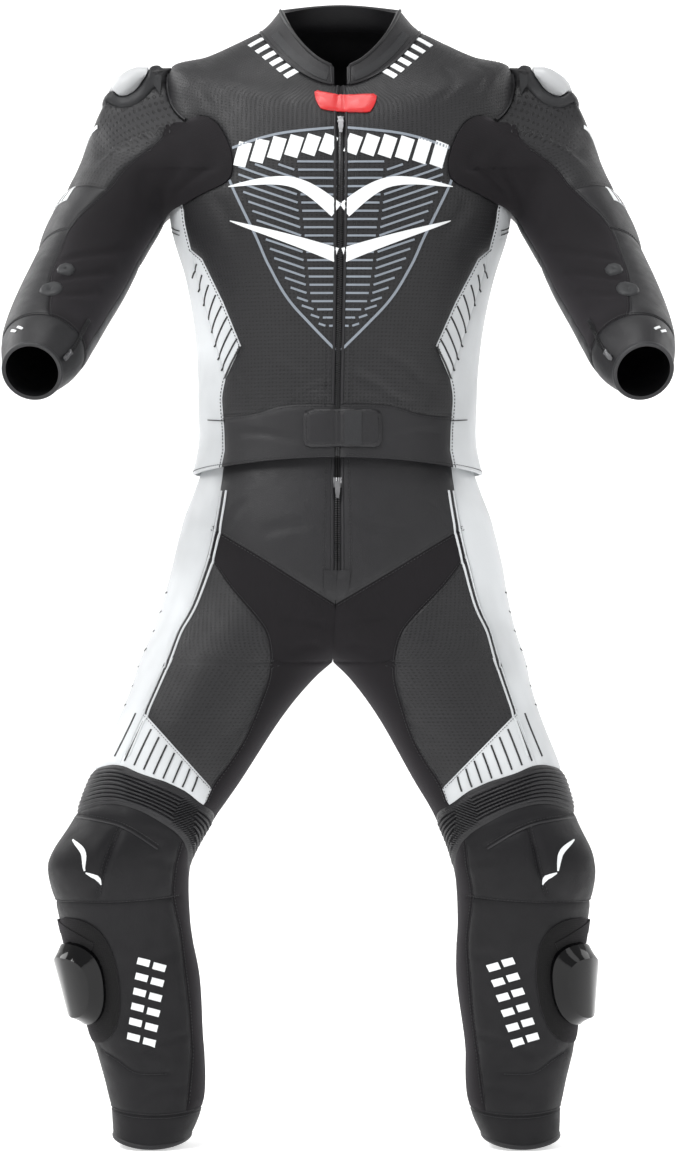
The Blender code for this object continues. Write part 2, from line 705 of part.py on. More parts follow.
def add_pull(name, tube, pivot, towards, length=PULL_LENGTH, side=1):
    """A zip's pull: a plate on its hinge axis, lying on the surface from one flat place towards another."""
    here, there = tube.point(np.array([pivot, towards]))
    out = tube.normal(np.array([pivot]))[0]
    down = there - here
    down = unit((down - out * (down @ out))[None])[0]
    axis = np.cross(down, out)
    hinge = here + out * (SLIDER_THICK + GAP + PULL_THICK / 2)
    frame = np.stack([axis, down, out], axis=1) * np.array([side, 1, 1])[:, None]
    hinge = sway((hinge * (side, 1, 1))[None])[0]
    mesh = bpy.data.meshes.new(name)
    plate = bmesh.new()
    bmesh.ops.create_cube(plate, size=1.0)
    bmesh.ops.scale(plate, vec=(PULL_WIDTH, length, PULL_THICK), verts=plate.verts)
    bmesh.ops.translate(plate, vec=(0, length / 2 - PULL_TAIL, 0), verts=plate.verts)
    for corner in plate.verts:
        if corner.co.y < 0:
            corner.co.x *= 0.7
    bmesh.ops.bevel(plate, geom=plate.edges[:], offset=PULL_BEVEL, segments=1, affect="EDGES")
    for corner in plate.verts:
        corner.co = frame @ np.array(corner.co)
    if side < 0:
        bmesh.ops.reverse_faces(plate, faces=plate.faces)
    plate.to_mesh(mesh)
    plate.free()
    mesh.materials.append(material(name, METAL))
    made = bpy.data.objects.new(name, mesh)
    made.location = hinge
    SUIT.objects.link(made)


# ---- the jacket ----

LABEL = ((-0.0330, 1.2700), (0.0450, 1.2660), (0.0360, 1.2440), (-0.0250, 1.2480))
TAB = ((-0.0410, 0.8890), (0.0530, 0.8890), (0.0530, 0.8430), (-0.0410, 0.8430))
LABEL_ROUND, TAB_ROUND = 0.005, 0.010
LABEL_THICK, TAB_THICK = 0.0030, 0.0040
COLLAR_THICK = 0.0016
ZIP_LIFT = -0.0003
SLIDER_THICK, SLIDER_HALF, SLIDER_SLOPE = 0.0030, 0.0055, 0.0010
ZIP_SLIDER_Z, FLY_SLIDER_Z = 1.2370, 0.8010


def body_layout():
    """The body cut into panels, with the label and the waist tab outlined on it."""
    rim = np.stack([np.linspace(body.low[0], body.high[0], 29), np.full(29, body.high[1])], axis=1)
    hem = rim * (1, 0)
    round_neck = smooth_line([(body.low[0], NECK), (0, NECK), (body.high[0], NECK)], straight=True)
    behind = smooth_line([(body.high[0], 0), (body.high[0], NECK), tuple(body.high)], straight=True)
    hole = armhole(ARMHOLE_TURNS)
    zip_turn = body.seen(ZIP_HALF, 1.0)[0]
    zip_side = smooth_line([(zip_turn, 0.0), (zip_turn, NECK)], straight=True)
    collar_end = np.array([body.seen(COLLAR_GAP, 1.278), body.seen(COLLAR_GAP, 1.305)])
    collar_end[0, 1], collar_end[1, 1] = NECK, body.high[1]
    shoulder = smooth_line([hole[18], (SIDE * BODY_ROUND, NECK)])
    top = body.curve(FRONT_EDGE_TOP)
    top[0] = to_corner(hole, top[0])
    foot = body.curve(FRONT_EDGE_FOOT)
    foot = np.concatenate([foot, [(foot[-1, 0], 0.0)]])
    inner, outer = body.curve(WEDGE_INNER, straight=True), body.curve(WEDGE_OUTER)
    outer[0], outer[-1] = inner[0], inner[-1]
    top[-1], foot[0] = inner[0], inner[-1]
    band = joined(body.curve(BAND_TOP), start_on=zip_side, end_on=foot)
    side_back = smooth_line([hole[3], (1.95 * BODY_ROUND, 0.20), (1.95 * BODY_ROUND, 0.0)])
    seams = [zip_side, collar_end, hole, shoulder, top, foot, inner, outer, band, side_back]
    seams += [mirrored(line) for line in seams]
    label = closed_curve(body, LABEL, LABEL_ROUND)
    tab = closed_curve(body, TAB, TAB_ROUND)
    edges = [rim, hem, behind, behind * (-1, 1)]
    edges += rungs(zip_slider(body, ZIP_SLIDER_Z), -zip_turn, zip_turn)
    return Layout(body, edges, seams + [round_neck], (label, tab), lambda v: True, body_normals)


def body_normals(layout):
    """The layout's normals, with those at the armholes shared with the sleeves."""
    normals = layout.normals
    shared = seam_normals(ARMHOLE_TURNS[:-1])
    for corner, normal in zip(armhole(ARMHOLE_TURNS[:-1]), shared):
        for side in (1, -1):
            at = np.argmin(np.linalg.norm(layout.flat - corner * (side, 1), axis=1))
            normals[at] = normal * (side, 1, 1)
    return normals


def make_jacket():
    layout = body_layout()

    def panel(name, place, look, **sizes):
        add_sheet(name, sheet(layout, layout.region(place), **sizes), look)

    panel("jacket_back", (body.high[0] - 0.03, 0.30), LEATHER)
    panel("collar", (body.high[0] - 0.03, NECK + 0.015), LEATHER, top=COLLAR_THICK)
    for name, side in (("left", 1), ("right", -1)):
        for kind, x, z, look in (
            ("front", 0.080, 1.150, LEATHER),
            ("stripe_panel", 0.155, 1.005, WHITE_LEATHER),
            ("waistband", 0.080, 0.865, LEATHER),
        ):
            panel(f"jacket_{kind}_{name}", body.seen(x, z) * (side, 1), look)
        panel(f"jacket_side_{name}", (SIDE * BODY_ROUND * side, 0.20), WHITE_LEATHER)
    add_zip("main_zip", layout, layout.region((0.0, 0.30)), zip_slider(body, ZIP_SLIDER_Z))
    lift = GAP
    label = layout.region(body.seen(0.006, 1.257), 1)
    tab = layout.region(body.seen(0.006, 0.866), 2)
    add_sheet("chest_label", sheet(layout, label, LABEL_THICK + lift, lift), RED_RUBBER)
    add_sheet("waist_tab", sheet(layout, tab, TAB_THICK + lift, lift), LEATHER)
    foot, top = zip_slider(body, ZIP_SLIDER_Z)
    add_pull("main_zip_pull", body, (0.0, (foot + top) / 2), (0.0, foot - PULL_LENGTH))


# ---- the sleeves ----

SLEEVE_UNDER = math.radians(-78)
PATCH_TOP, PATCH_FOOT, PATCH_BACK = 0.128, 0.205, math.radians(150)
CUFF_DEPTH = 0.055
CUP_PLACE, CUP_SIZE, CUP_THICK = (math.radians(102), 0.026), (0.032, 0.0150), 0.009
CUP_LIFT = 0.0006
CUFF_ZIP = ((0.3010, 0.9950), (0.3300, 0.9500))
CUFF_ZIP_HALF, CUFF_ZIP_THICK, CUFF_ZIP_END, CUFF_PULL_LENGTH = 0.0035, 0.0016, 0.002, 0.012


def across_sleeve(turn_from, turn_to, place):
    """A line round the sleeve at one depth."""
    return smooth_line(
        [(turn_from * SLEEVE_ROUND, place), (turn_to * SLEEVE_ROUND, place)], straight=True
    )


def sleeve_layout():
    """The sleeve cut into panels, with the shoulder cup and the cuff's zip outlined on it."""
    cuff = SLEEVE_END - CUFF_DEPTH
    top = np.stack([ARMHOLE_TURNS * SLEEVE_ROUND, 0 * ARMHOLE_TURNS], axis=1)
    end = across_sleeve(-math.pi, math.pi, SLEEVE_END)
    back = smooth_line([(sleeve.high[0], 0.0), (sleeve.high[0], SLEEVE_END)], straight=True)
    cuff_top = across_sleeve(-math.pi, math.pi, cuff)
    start = top[15]
    front = smooth_line([start] + [sleeve.seen(x, z) for x, z in SLEEVE_FRONT])
    front = front[front[:, 1] < cuff]
    front = np.concatenate([front, [(front[-1, 0], cuff)]])
    under = smooth_line([top[7], (SLEEVE_UNDER * SLEEVE_ROUND, 0.04), (SLEEVE_UNDER * SLEEVE_ROUND, cuff)])
    patch_turn = PATCH_BACK * SLEEVE_ROUND
    middle = (PATCH_TOP + PATCH_FOOT) / 2
    seams = [front, under, cuff_top]
    for place in (PATCH_TOP, PATCH_FOOT):
        on_front = front[np.argmin(np.abs(front[:, 1] - place))]
        seams.append(smooth_line([on_front, (0.5 * (on_front[0] + patch_turn), place), (patch_turn, place)]))
    seams.append(smooth_line([(patch_turn, PATCH_TOP), (patch_turn, PATCH_FOOT)], straight=True))
    seams.append(across_sleeve(PATCH_BACK, math.pi, middle))
    seams.append(across_sleeve(-math.pi, SLEEVE_UNDER, middle))
    cup = oval((CUP_PLACE[0] * SLEEVE_ROUND, CUP_PLACE[1]), *CUP_SIZE)
    left, right = cuff_zip_sides()
    strip = smooth_line([left[0], left[-1], right[-1], right[0], left[0]], straight=True)
    edges = [top, end, back, back * (-1, 1)] + [np.array(pair) for pair in zip(left, right)][1:-1]
    return Layout(sleeve, edges, seams, (cup, strip), lambda v: True, sleeve_normals)


def cuff_zip_sides():
    """The two sides of the cuff's zip on the layout: its ends, and between them its slider's foot and top."""
    first, last = [sleeve.seen(x, z) for x, z in CUFF_ZIP]
    length = np.linalg.norm(last - first)
    run = (last - first) / length
    aside = np.array([run[1], -run[0]]) * CUFF_ZIP_HALF
    low, high = length - CUFF_ZIP_END - 2 * SLIDER_HALF, length - CUFF_ZIP_END
    places = (0.0, low, low + SLIDER_SLOPE, high - SLIDER_SLOPE, high, length)
    return [[first + run * place + aside * way for place in places] for way in (1, -1)]


def sleeve_normals(layout):
    normals = layout.normals
    at_top = np.flatnonzero(layout.flat[:, 1] < 1e-6)
    normals[at_top] = seam_normals(layout.flat[at_top, 0] / SLEEVE_ROUND)
    return normals


def make_sleeves():
    layout = sleeve_layout()
    places = (
        ("upper", (math.radians(100), 0.08), LEATHER, 0.0),
        ("stretch", (math.radians(-30), 0.10), STRETCH, 0.0),
        ("elbow_patch", (math.radians(100), 0.16), RUBBER, 0.0),
        ("forearm", (math.radians(120), 0.26), LEATHER, 0.0),
        ("cuff", (math.radians(90), SLEEVE_END - 0.02), LEATHER, 0.0),
    )
    for name, side in (("left", 1), ("right", -1)):
        for kind, (turn, depth), look, top in places:
            patch = layout.region((turn * SLEEVE_ROUND, depth))
            add_sheet(f"sleeve_{kind}_{name}", sheet(layout, patch, top), look, side)
        cup = layout.region((CUP_PLACE[0] * SLEEVE_ROUND, CUP_PLACE[1]), 1)
        shell = sheet(layout, cup, CUP_THICK, CUP_LIFT, domed(cup))
        add_sheet(f"shoulder_cup_{name}", shell, PALE_PLASTIC, side)
        left_side, right_side = cuff_zip_sides()
        foot, top = [(a + b) / 2 for a, b in zip(left_side, right_side)][2:4]
        strip = layout.region((left_side[0] + right_side[1]) / 2, 2)
        slider = set(np.flatnonzero(np.linalg.norm(layout.flat - (foot + top) / 2, axis=1) < SLIDER_HALF))
        heights = sheet(
            layout, strip, CUFF_ZIP_THICK, GAP, lambda point, height: SLIDER_THICK if point in slider else height
        )
        add_sheet(f"cuff_zip_{name}", heights, METAL, side)
        middle = (foot + top) / 2
        add_pull(f"cuff_zip_pull_{name}", sleeve, middle, middle + 2 * (top - foot), CUFF_PULL_LENGTH, side)


def domed(patch, rim_share=0.35):
    """A height for each point of a patch: full inside it, and less along its rim."""
    rim = rim_of(patch)
    return lambda point, height: GAP + height * (rim_share if point in rim else 1.0)


# ---- the trousers ----

TOP = LEG_LENGTHS[-1]
CROTCH = LEG_LENGTHS[CROTCH_ROW]
ANKLE = 0.036
FLY_TAB = ((0.0000, 0.6960), (0.0165, 0.6960), (0.0150, 0.6730), (0.0090, 0.6620), (0.0000, 0.6600))
FLY_TAB_THICK = 0.0018
BASE_PLACE, BASE_SIZE, BASE_THICK = (math.radians(56), 0.196), (0.058, 0.078), 0.0025
PUCK_PLACE, PUCK_SIZE, PUCK_THICK = (math.radians(56), 0.194), (0.041, 0.050), 0.019
STEP = 0.012


def leg_layout():
    """One half of the trousers cut into panels, with the fly tab, slider base and puck outlined on it."""
    above_crotch = CROTCH + (TOP - CROTCH) * np.linspace(0, 1, 13)[1:] ** 1.8
    heights = np.concatenate([np.linspace(0, CROTCH, 18), above_crotch])
    inner = np.stack([0 * heights, heights], axis=1)
    hem = np.stack([np.linspace(0, LEG_ROUND, 16), np.zeros(16)], axis=1)
    waist = hem + (0, TOP)
    start = (0.0, heights[11])
    accordion_top = smooth_line([start] + [leg.seen(x, z) for x, z in ACCORDION_TOP[1:]] + [
        leg_flat(LEG_BACK_EDGE, np.array([0.448]))[0]])
    back_edge = leg_flat(LEG_BACK_EDGE, np.linspace(ANKLE, TOP, 28))
    accordion_top[-1] = to_corner(back_edge, accordion_top[-1])
    foot_start = (0.0, heights[9])
    accordion_foot = smooth_line([foot_start] + [leg.seen(x, z) for x, z in ACCORDION_FOOT[1:]] + [
        leg_flat(LEG_BACK_EDGE, np.array([0.395]))[0]])
    accordion_foot = joined(accordion_foot, end_on=back_edge)
    inseam = inner[(heights >= heights[9]) & (heights <= CROTCH + 1e-9)]
    side = joined(leg.curve(SIDE_FRONT), start_on=waist, end_on=accordion_top)
    middle = inner[heights >= CROTCH - 1e-9]
    stretch_top = joined(leg.curve(STRETCH_TOP), start_on=side, end_on=middle)
    thigh = joined(leg.curve(THIGH_INNER), start_on=side, end_on=accordion_top)
    stripe = joined(leg.curve(STRIPE_TOP, straight=True), start_on=side, end_on=thigh)
    shin = joined(leg.curve(SHIN_INNER), start_on=accordion_foot)
    shin[-1, 1] = ANKLE
    knee_foot = joined(leg.curve(KNEE_FOOT), start_on=shin)
    knee_foot = np.concatenate([knee_foot, [to_corner(back_edge, knee_foot[-1])]])
    ankle = smooth_line([(0, ANKLE), (LEG_ROUND, ANKLE)], straight=True)
    fly_foot = leg.seen(FLY_HALF, FLY_FOOT_Z)
    fly = smooth_line([(leg.seen(FLY_HALF, 0.80)[0], TOP), leg.seen(FLY_HALF, 0.75), fly_foot])
    fly_end = np.array([fly[-1], (0.0, fly[-1, 1])])
    behind = (LEG_ROUND, 0.0)
    seams = [accordion_top, accordion_foot, back_edge, inseam, inseam + behind, side, stretch_top, thigh, stripe,
             shin, knee_foot, ankle, fly, fly_end]
    tab = smooth_line([leg.seen(x, z) for x, z in FLY_TAB], straight=True)
    tab[0, 0] = tab[-1, 0] = 0.0
    base = oval(leg_flat(BASE_PLACE[0], np.array([BASE_PLACE[1]]))[0], *BASE_SIZE, count=14, lean=-0.12)
    puck = oval(leg_flat(PUCK_PLACE[0], np.array([PUCK_PLACE[1]]))[0], *PUCK_SIZE, lean=-0.15)
    puck_centre = leg_flat(PUCK_PLACE[0], np.array([PUCK_PLACE[1]]))[0]
    crown = oval(puck_centre, *(np.array(PUCK_SIZE) - STEP), lean=-0.15)
    edges = [inner, inner + behind, hem, waist, crown] + rungs(zip_slider(leg, FLY_SLIDER_Z), 0.0, fly[0, 0])
    return Layout(leg, edges, seams, (tab, base, puck), lambda v: v < CROTCH + 1e-6)


def make_trousers():
    layout = leg_layout()
    panels = (
        ("front", (0.080, 0.760), LEATHER),
        ("stretch", (0.060, 0.640), STRETCH),
        ("side", (0.205, 0.620), WHITE_LEATHER),
        ("thigh", (0.130, 0.580), LEATHER),
        ("knee_stripe", (0.190, 0.470), WHITE_LEATHER),
        ("accordion", (0.220, 0.430), RUBBER),
        ("knee", (0.235, 0.350), LEATHER),
        ("shin", (0.200, 0.150), LEATHER),
    )
    for name, side in (("left", 1), ("right", -1)):
        for kind, (x, z), look in panels:
            add_sheet(f"leg_{kind}_{name}", sheet(layout, layout.region(leg.seen(x, z))), look, side)
        back = layout.region((LEG_ROUND - 0.03, 0.60))
        add_sheet(f"leg_back_{name}", sheet(layout, back), LEATHER, side)
        ankle = layout.region((0.2, ANKLE / 2))
        add_sheet(f"leg_cuff_{name}", sheet(layout, ankle), LEATHER, side)
        base = layout.region(leg_flat(BASE_PLACE[0], np.array([BASE_PLACE[1]]))[0], 2)
        add_sheet(f"slider_base_{name}", sheet(layout, base, BASE_THICK + GAP, GAP), RUBBER, side)
        puck = layout.region(leg_flat(PUCK_PLACE[0], np.array([PUCK_PLACE[1]]))[0], 3)
        lift = BASE_THICK + 2 * GAP
        shell = sheet(layout, puck, PUCK_THICK, lift, domed(puck, 0.45))
        add_sheet(f"slider_puck_{name}", shell, GLOSS_PLASTIC, side)
    fly = layout.region((0.0005, TOP - 0.05))
    tab = layout.region(leg.seen(0.006, 0.680), 1)
    slider = zip_slider(leg, FLY_SLIDER_Z)
    chain = sheet(layout, fly, ZIP_LIFT, dome=slider_height(layout, slider))
    add_sheet("fly_zip", without_loose(*across_middle(chain)), METAL)
    add_pull("fly_zip_pull", leg, (0.0, sum(slider) / 2), (0.0, slider[0] - PULL_LENGTH))
    over_zip = sheet(layout, tab, FLY_TAB_THICK + GAP, GAP)
    add_sheet("fly_tab", without_loose(*across_middle(over_zip)), LEATHER)


clear_scene()
SUIT = new_collection("race_suit")
make_jacket()
make_sleeves()
make_trousers()
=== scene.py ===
"""The visual model of a two-piece motorcycle race suit, hollow, in the pose of its wearer.

The panels are the part's own: three thin tubes, each laid out flat as (around, along) in metres, cut
along the seams. Here each tube is triangulated finely, its leather gets relief (seam grooves, padding,
ribs and creases), and trims, stitches, stripes and zips are laid on that relief. The tables count
heights from the ankle hem, and the wearer's left is +X.
"""

import math

import bpy
import numpy as np
from mathutils.geometry import delaunay_2d_cdt
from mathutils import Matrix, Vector
from mathutils.kdtree import KDTree


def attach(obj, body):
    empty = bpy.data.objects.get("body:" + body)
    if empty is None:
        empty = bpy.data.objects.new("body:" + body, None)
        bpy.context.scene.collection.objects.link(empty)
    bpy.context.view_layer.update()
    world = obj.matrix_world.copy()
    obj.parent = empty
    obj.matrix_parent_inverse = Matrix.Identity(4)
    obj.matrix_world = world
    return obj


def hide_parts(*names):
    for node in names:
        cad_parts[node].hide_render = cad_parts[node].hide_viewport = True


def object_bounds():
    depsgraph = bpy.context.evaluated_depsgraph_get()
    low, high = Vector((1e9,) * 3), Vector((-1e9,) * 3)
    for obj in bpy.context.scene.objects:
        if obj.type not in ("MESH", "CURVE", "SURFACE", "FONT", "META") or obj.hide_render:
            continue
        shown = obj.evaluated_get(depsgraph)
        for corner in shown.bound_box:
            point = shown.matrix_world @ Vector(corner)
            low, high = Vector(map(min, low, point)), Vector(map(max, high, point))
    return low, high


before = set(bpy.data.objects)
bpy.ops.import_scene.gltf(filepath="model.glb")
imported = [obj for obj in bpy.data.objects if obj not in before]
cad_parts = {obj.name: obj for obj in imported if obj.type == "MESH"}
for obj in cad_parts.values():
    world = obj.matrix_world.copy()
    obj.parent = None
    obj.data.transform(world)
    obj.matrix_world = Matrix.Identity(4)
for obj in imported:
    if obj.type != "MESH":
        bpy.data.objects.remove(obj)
CAD_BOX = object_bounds()

MOUNT_HEIGHT = 1.300
WALL = 0.0022
GAP = 0.0003
CELL = 0.0052
SEAM_RAIL = 0.0018
# Seams are laid out as an eye standing here sees them on the worn suit.
EYE_DISTANCE = 5.0
EYE_HEIGHT = 0.687
# The superellipse exponent of every section: 2 is an ellipse, and more is squarer.
SQUARENESS = 2.25
SIDE = math.pi / 2
# How far apart points are when a line is turned into points to measure from.
LINE_STEP = 0.001
# The eye's look for a place: a first grid over the whole layout, then smaller ones round the best so far.
FIRST_GRID, NEXT_GRID, LOOK_COUNT = 161, 9, 7
NEXT_REACH, NARROWING, NEAR_ENOUGH, TURNED_ENOUGH = 0.03, 0.4, 0.004, 0.02


def table(columns, *rows):
    """A table as {column: values}, one value a row."""
    return dict(zip(columns.split(), np.array(rows, float).T))


BODY = table(
    "front_z side_z back_z half_width front_y side_y back_y",
    (0.828, 0.810, 0.802, 0.173, -0.118, 0.000, 0.108),  # hem
    (0.858, 0.848, 0.844, 0.1655, -0.115, 0.000, 0.103),
    (0.893, 0.890, 0.890, 0.1660, -0.113, 0.000, 0.101),  # waist
    (0.940, 0.938, 0.938, 0.1675, -0.115, 0.000, 0.103),
    (0.990, 0.990, 0.990, 0.1730, -0.121, 0.000, 0.109),
    (1.045, 1.045, 1.045, 0.1840, -0.128, 0.000, 0.118),
    (1.100, 1.098, 1.100, 0.2000, -0.132, 0.000, 0.125),  # chest
    (1.148, 1.152, 1.155, 0.2080, -0.130, 0.000, 0.130),
    (1.188, 1.208, 1.212, 0.2080, -0.124, 0.002, 0.129),
    (1.220, 1.258, 1.262, 0.2080, -0.114, 0.006, 0.122),
    (1.240, 1.299, 1.301, 0.2030, -0.104, 0.010, 0.110),  # shoulder tip
    (1.252, 1.312, 1.322, 0.1600, -0.095, 0.012, 0.092),
    (1.261, 1.328, 1.340, 0.1240, -0.087, 0.012, 0.077),
    (1.268, 1.342, 1.352, 0.0960, -0.080, 0.012, 0.064),  # neck seam
    (1.275, 1.350, 1.360, 0.0840, -0.077, 0.012, 0.058),
    (1.292, 1.368, 1.380, 0.0690, -0.071, 0.011, 0.050),  # collar rim
)
NECK_ROW = 13

LEG = table(
    "front_z side_z back_z centre half_width front_y side_y back_y",
    (0.008, 0.018, 0.030, 0.2210, 0.0450, -0.056, -0.004, 0.048),  # ankle hem
    (0.044, 0.050, 0.054, 0.2150, 0.0535, -0.060, -0.004, 0.054),
    (0.080, 0.082, 0.082, 0.2155, 0.0588, -0.066, -0.006, 0.058),
    (0.135, 0.135, 0.135, 0.2220, 0.0650, -0.077, -0.012, 0.061),
    (0.210, 0.210, 0.210, 0.2270, 0.0730, -0.094, -0.024, 0.058),
    (0.281, 0.281, 0.281, 0.2365, 0.0765, -0.118, -0.042, 0.044),
    (0.345, 0.345, 0.345, 0.2385, 0.0825, -0.142, -0.060, 0.024),  # knee
    (0.400, 0.400, 0.400, 0.2150, 0.0830, -0.140, -0.056, 0.032),
    (0.449, 0.449, 0.449, 0.1912, 0.0900, -0.135, -0.046, 0.046),
    (0.516, 0.516, 0.516, 0.1563, 0.0957, -0.130, -0.030, 0.070),
    (0.558, 0.558, 0.558, 0.1330, 0.1040, -0.127, -0.020, 0.086),
    (0.586, 0.586, 0.586, 0.1150, 0.1150, -0.125, -0.013, 0.098),  # crotch
    (0.625, 0.625, 0.625, 0.0800, 0.1355, -0.123, -0.006, 0.112),
    (0.665, 0.665, 0.665, 0.0420, 0.1626, -0.122, 0.000, 0.118),
    (0.705, 0.705, 0.705, 0.0120, 0.1840, -0.122, 0.000, 0.118),
    (0.745, 0.745, 0.745, 0.0000, 0.1860, -0.120, 0.000, 0.114),
    (0.788, 0.788, 0.788, 0.0000, 0.1710, -0.113, 0.000, 0.104),
    (0.820, 0.820, 0.820, 0.0000, 0.1600, -0.106, 0.000, 0.096),
    (0.846, 0.846, 0.846, 0.0000, 0.1560, -0.103, 0.000, 0.093),  # top, inside the jacket
)
CROTCH_ROW = 11

# The sleeve below the armhole: each ring's middle, and its half sizes across the arm and front to back.
ARM = table(
    "x y z across deep",
    (0.270, -0.014, 1.128, 0.0600, 0.0680),
    (0.290, -0.034, 1.088, 0.0590, 0.0660),
    (0.306, -0.068, 1.046, 0.0575, 0.0620),  # elbow
    (0.321, -0.118, 1.008, 0.0555, 0.0570),
    (0.332, -0.172, 0.974, 0.0530, 0.0500),
    (0.339, -0.222, 0.946, 0.0480, 0.0450),
    (0.348, -0.262, 0.921, 0.0330, 0.0350),  # cuff opening
)
SLEEVE_HEAD = 0.110
# The sleeve leaves the shoulder tip this way, and this much more strongly than elsewhere.
SHOULDER_AIM = np.array([1.0, 0.0, -0.02])
SHOULDER_BULGE = 0.5

# The armhole on the body, by its angle: 90 is the shoulder tip, 0 the front, -90 the armpit.
ARMHOLE = table(
    "angle x z behind",
    (90, 0.206, 1.300, 0),
    (70, 0.208, 1.272, 0),
    (45, 0.187, 1.2336, 0),
    (36, 0.1700, 1.2410, 0),
    (26, 0.1510, 1.2340, 0),
    (14, 0.1360, 1.2096, 0),
    (2, 0.1300, 1.1820, 0),
    (-15, 0.1370, 1.1628, 0),
    (-40, 0.1650, 1.1484, 0),
    (-65, 0.1880, 1.1364, 0),
    (-90, 0.230, 1.1240, 0),
    (-130, 0.184, 1.1360, 1),
    (-180, 0.168, 1.1900, 1),
    (-230, 0.184, 1.2520, 1),
)

# How far the worn suit leans to its own right, by height.
SWAY = table(
    "z shift",
    (0.00, -0.002),
    (0.12, -0.004),
    (0.25, -0.016),
    (0.35, -0.020),
    (0.42, -0.014),
    (0.54, -0.009),
    (0.70, -0.001),
    (0.90, -0.001),
    (1.05, 0.002),
    (1.20, 0.003),
    (1.40, 0.002),
)

# Seams of the jacket's right-hand side, (x, z) as the eye sees them.
ZIP_HALF = 0.0030
COLLAR_GAP = 0.0085
WEDGE_INNER = ((0.1800, 1.0800), (0.1668, 1.0692), (0.1404, 1.0176), (0.1176, 0.9648), (0.1356, 0.9252))
FRONT_EDGE_TOP = ((0.1896, 1.1300), (0.1872, 1.1100), (0.1800, 1.0800))
FRONT_EDGE_FOOT = ((0.1356, 0.9252), (0.1392, 0.9020), (0.1368, 0.8660), (0.1360, 0.8400))
WEDGE_OUTER = ((0.1800, 1.0800), (0.1716, 1.0440), (0.1536, 0.9840), (0.1356, 0.9252))
BAND_TOP = ((0.0000, 0.8952), (0.0600, 0.8940), (0.1020, 0.8832), (0.1380, 0.8796))

# Seams of the right-hand leg and hip.
FLY_HALF = 0.0030
FLY_FOOT_Z = 0.690
STRETCH_TOP = ((0.1530, 0.7476), (0.1008, 0.7164), (0.0540, 0.6876), (0.0000, 0.6546))
SIDE_FRONT = (
    (0.1368, 0.8300), (0.1400, 0.8000), (0.1488, 0.7488), (0.1572, 0.7116), (0.1740, 0.6564),
    (0.1896, 0.6240), (0.2016, 0.5892), (0.2208, 0.5388), (0.2508, 0.4640),
)
THIGH_INNER = (
    (0.1560, 0.7150), (0.1296, 0.6780), (0.0972, 0.6420), (0.0816, 0.6204), (0.0750, 0.5940),
    (0.0756, 0.5640), (0.0864, 0.5280), (0.0996, 0.4938), (0.1152, 0.4668), (0.1344, 0.4392),
    (0.1440, 0.4160),
)
STRIPE_TOP = ((0.2270, 0.5280), (0.1368, 0.4330))
ACCORDION_TOP = ((0.1250, 0.3960), (0.1458, 0.4130), (0.1740, 0.4326), (0.2232, 0.4512), (0.2508, 0.4620),
                 (0.2740, 0.4600))
ACCORDION_FOOT = ((0.1520, 0.3560), (0.1668, 0.3696), (0.1980, 0.3936), (0.2340, 0.4104), (0.2664, 0.4152),
                  (0.2980, 0.4060))
KNEE_FOOT = ((0.1700, 0.3040), (0.2076, 0.2988), (0.2508, 0.2958), (0.3100, 0.2964))
SHIN_INNER = (
    (0.1690, 0.3710), (0.1750, 0.3380), (0.1788, 0.3036), (0.1716, 0.2580), (0.1698, 0.2100),
    (0.1692, 0.1620), (0.1716, 0.1080), (0.1776, 0.0540),
)
LEG_BACK_EDGE = math.radians(128)

# Seams of the right-hand sleeve.
SLEEVE_FRONT = (
    (0.2172, 1.2132), (0.2424, 1.1928), (0.2700, 1.1652), (0.2952, 1.1388), (0.3192, 1.1148),
    (0.3310, 1.0960), (0.3400, 1.0720), (0.3480, 1.0464),
    (0.3480, 1.0224), (0.3456, 0.9936), (0.3420, 0.9600),
)


def along(rows, column, place):
    """One column of a table at a place counted in rows, as a smooth curve through the rows."""
    values = rows[column]
    last = len(values) - 1
    place = np.clip(place, 0, last)
    row = np.minimum(place.astype(int), last - 1)
    t = place - row
    before, start = values[np.maximum(row - 1, 0)], values[row]
    end, after = values[row + 1], values[np.minimum(row + 2, last)]
    slope_in, slope_out = (end - before) / 2, (after - start) / 2
    return (
        start
        + slope_in * t
        + (3 * (end - start) - 2 * slope_in - slope_out) * t**2
        + (2 * (start - end) + slope_in + slope_out) * t**3
    )


def row_lengths(*columns):
    """Each row's distance along the line through the rows."""
    steps = np.sqrt(sum(np.diff(column) ** 2 for column in columns))
    return np.concatenate([[0], np.cumsum(steps)])


def section(rows, place, angle, centre, half_width):
    """Points of the level sections: angle 0 is the front, a quarter turn the side, a half turn the back."""
    sine, cosine = np.sin(angle), np.cos(angle)
    reach = (np.abs(sine) ** SQUARENESS + np.abs(cosine) ** SQUARENESS) ** (-1 / SQUARENESS)
    ahead = cosine > 0
    side_y, side_z = along(rows, "side_y", place), along(rows, "side_z", place)
    end_y = np.where(ahead, along(rows, "front_y", place), along(rows, "back_y", place))
    end_z = np.where(ahead, along(rows, "front_z", place), along(rows, "back_z", place))
    return np.stack(
        [
            centre + half_width * reach * sine,
            side_y + (end_y - side_y) * reach * np.abs(cosine),
            side_z + (end_z - side_z) * cosine**2,
        ],
        axis=1,
    )


def unit(vectors):
    return vectors / np.maximum(np.linalg.norm(vectors, axis=1, keepdims=True), 1e-12)


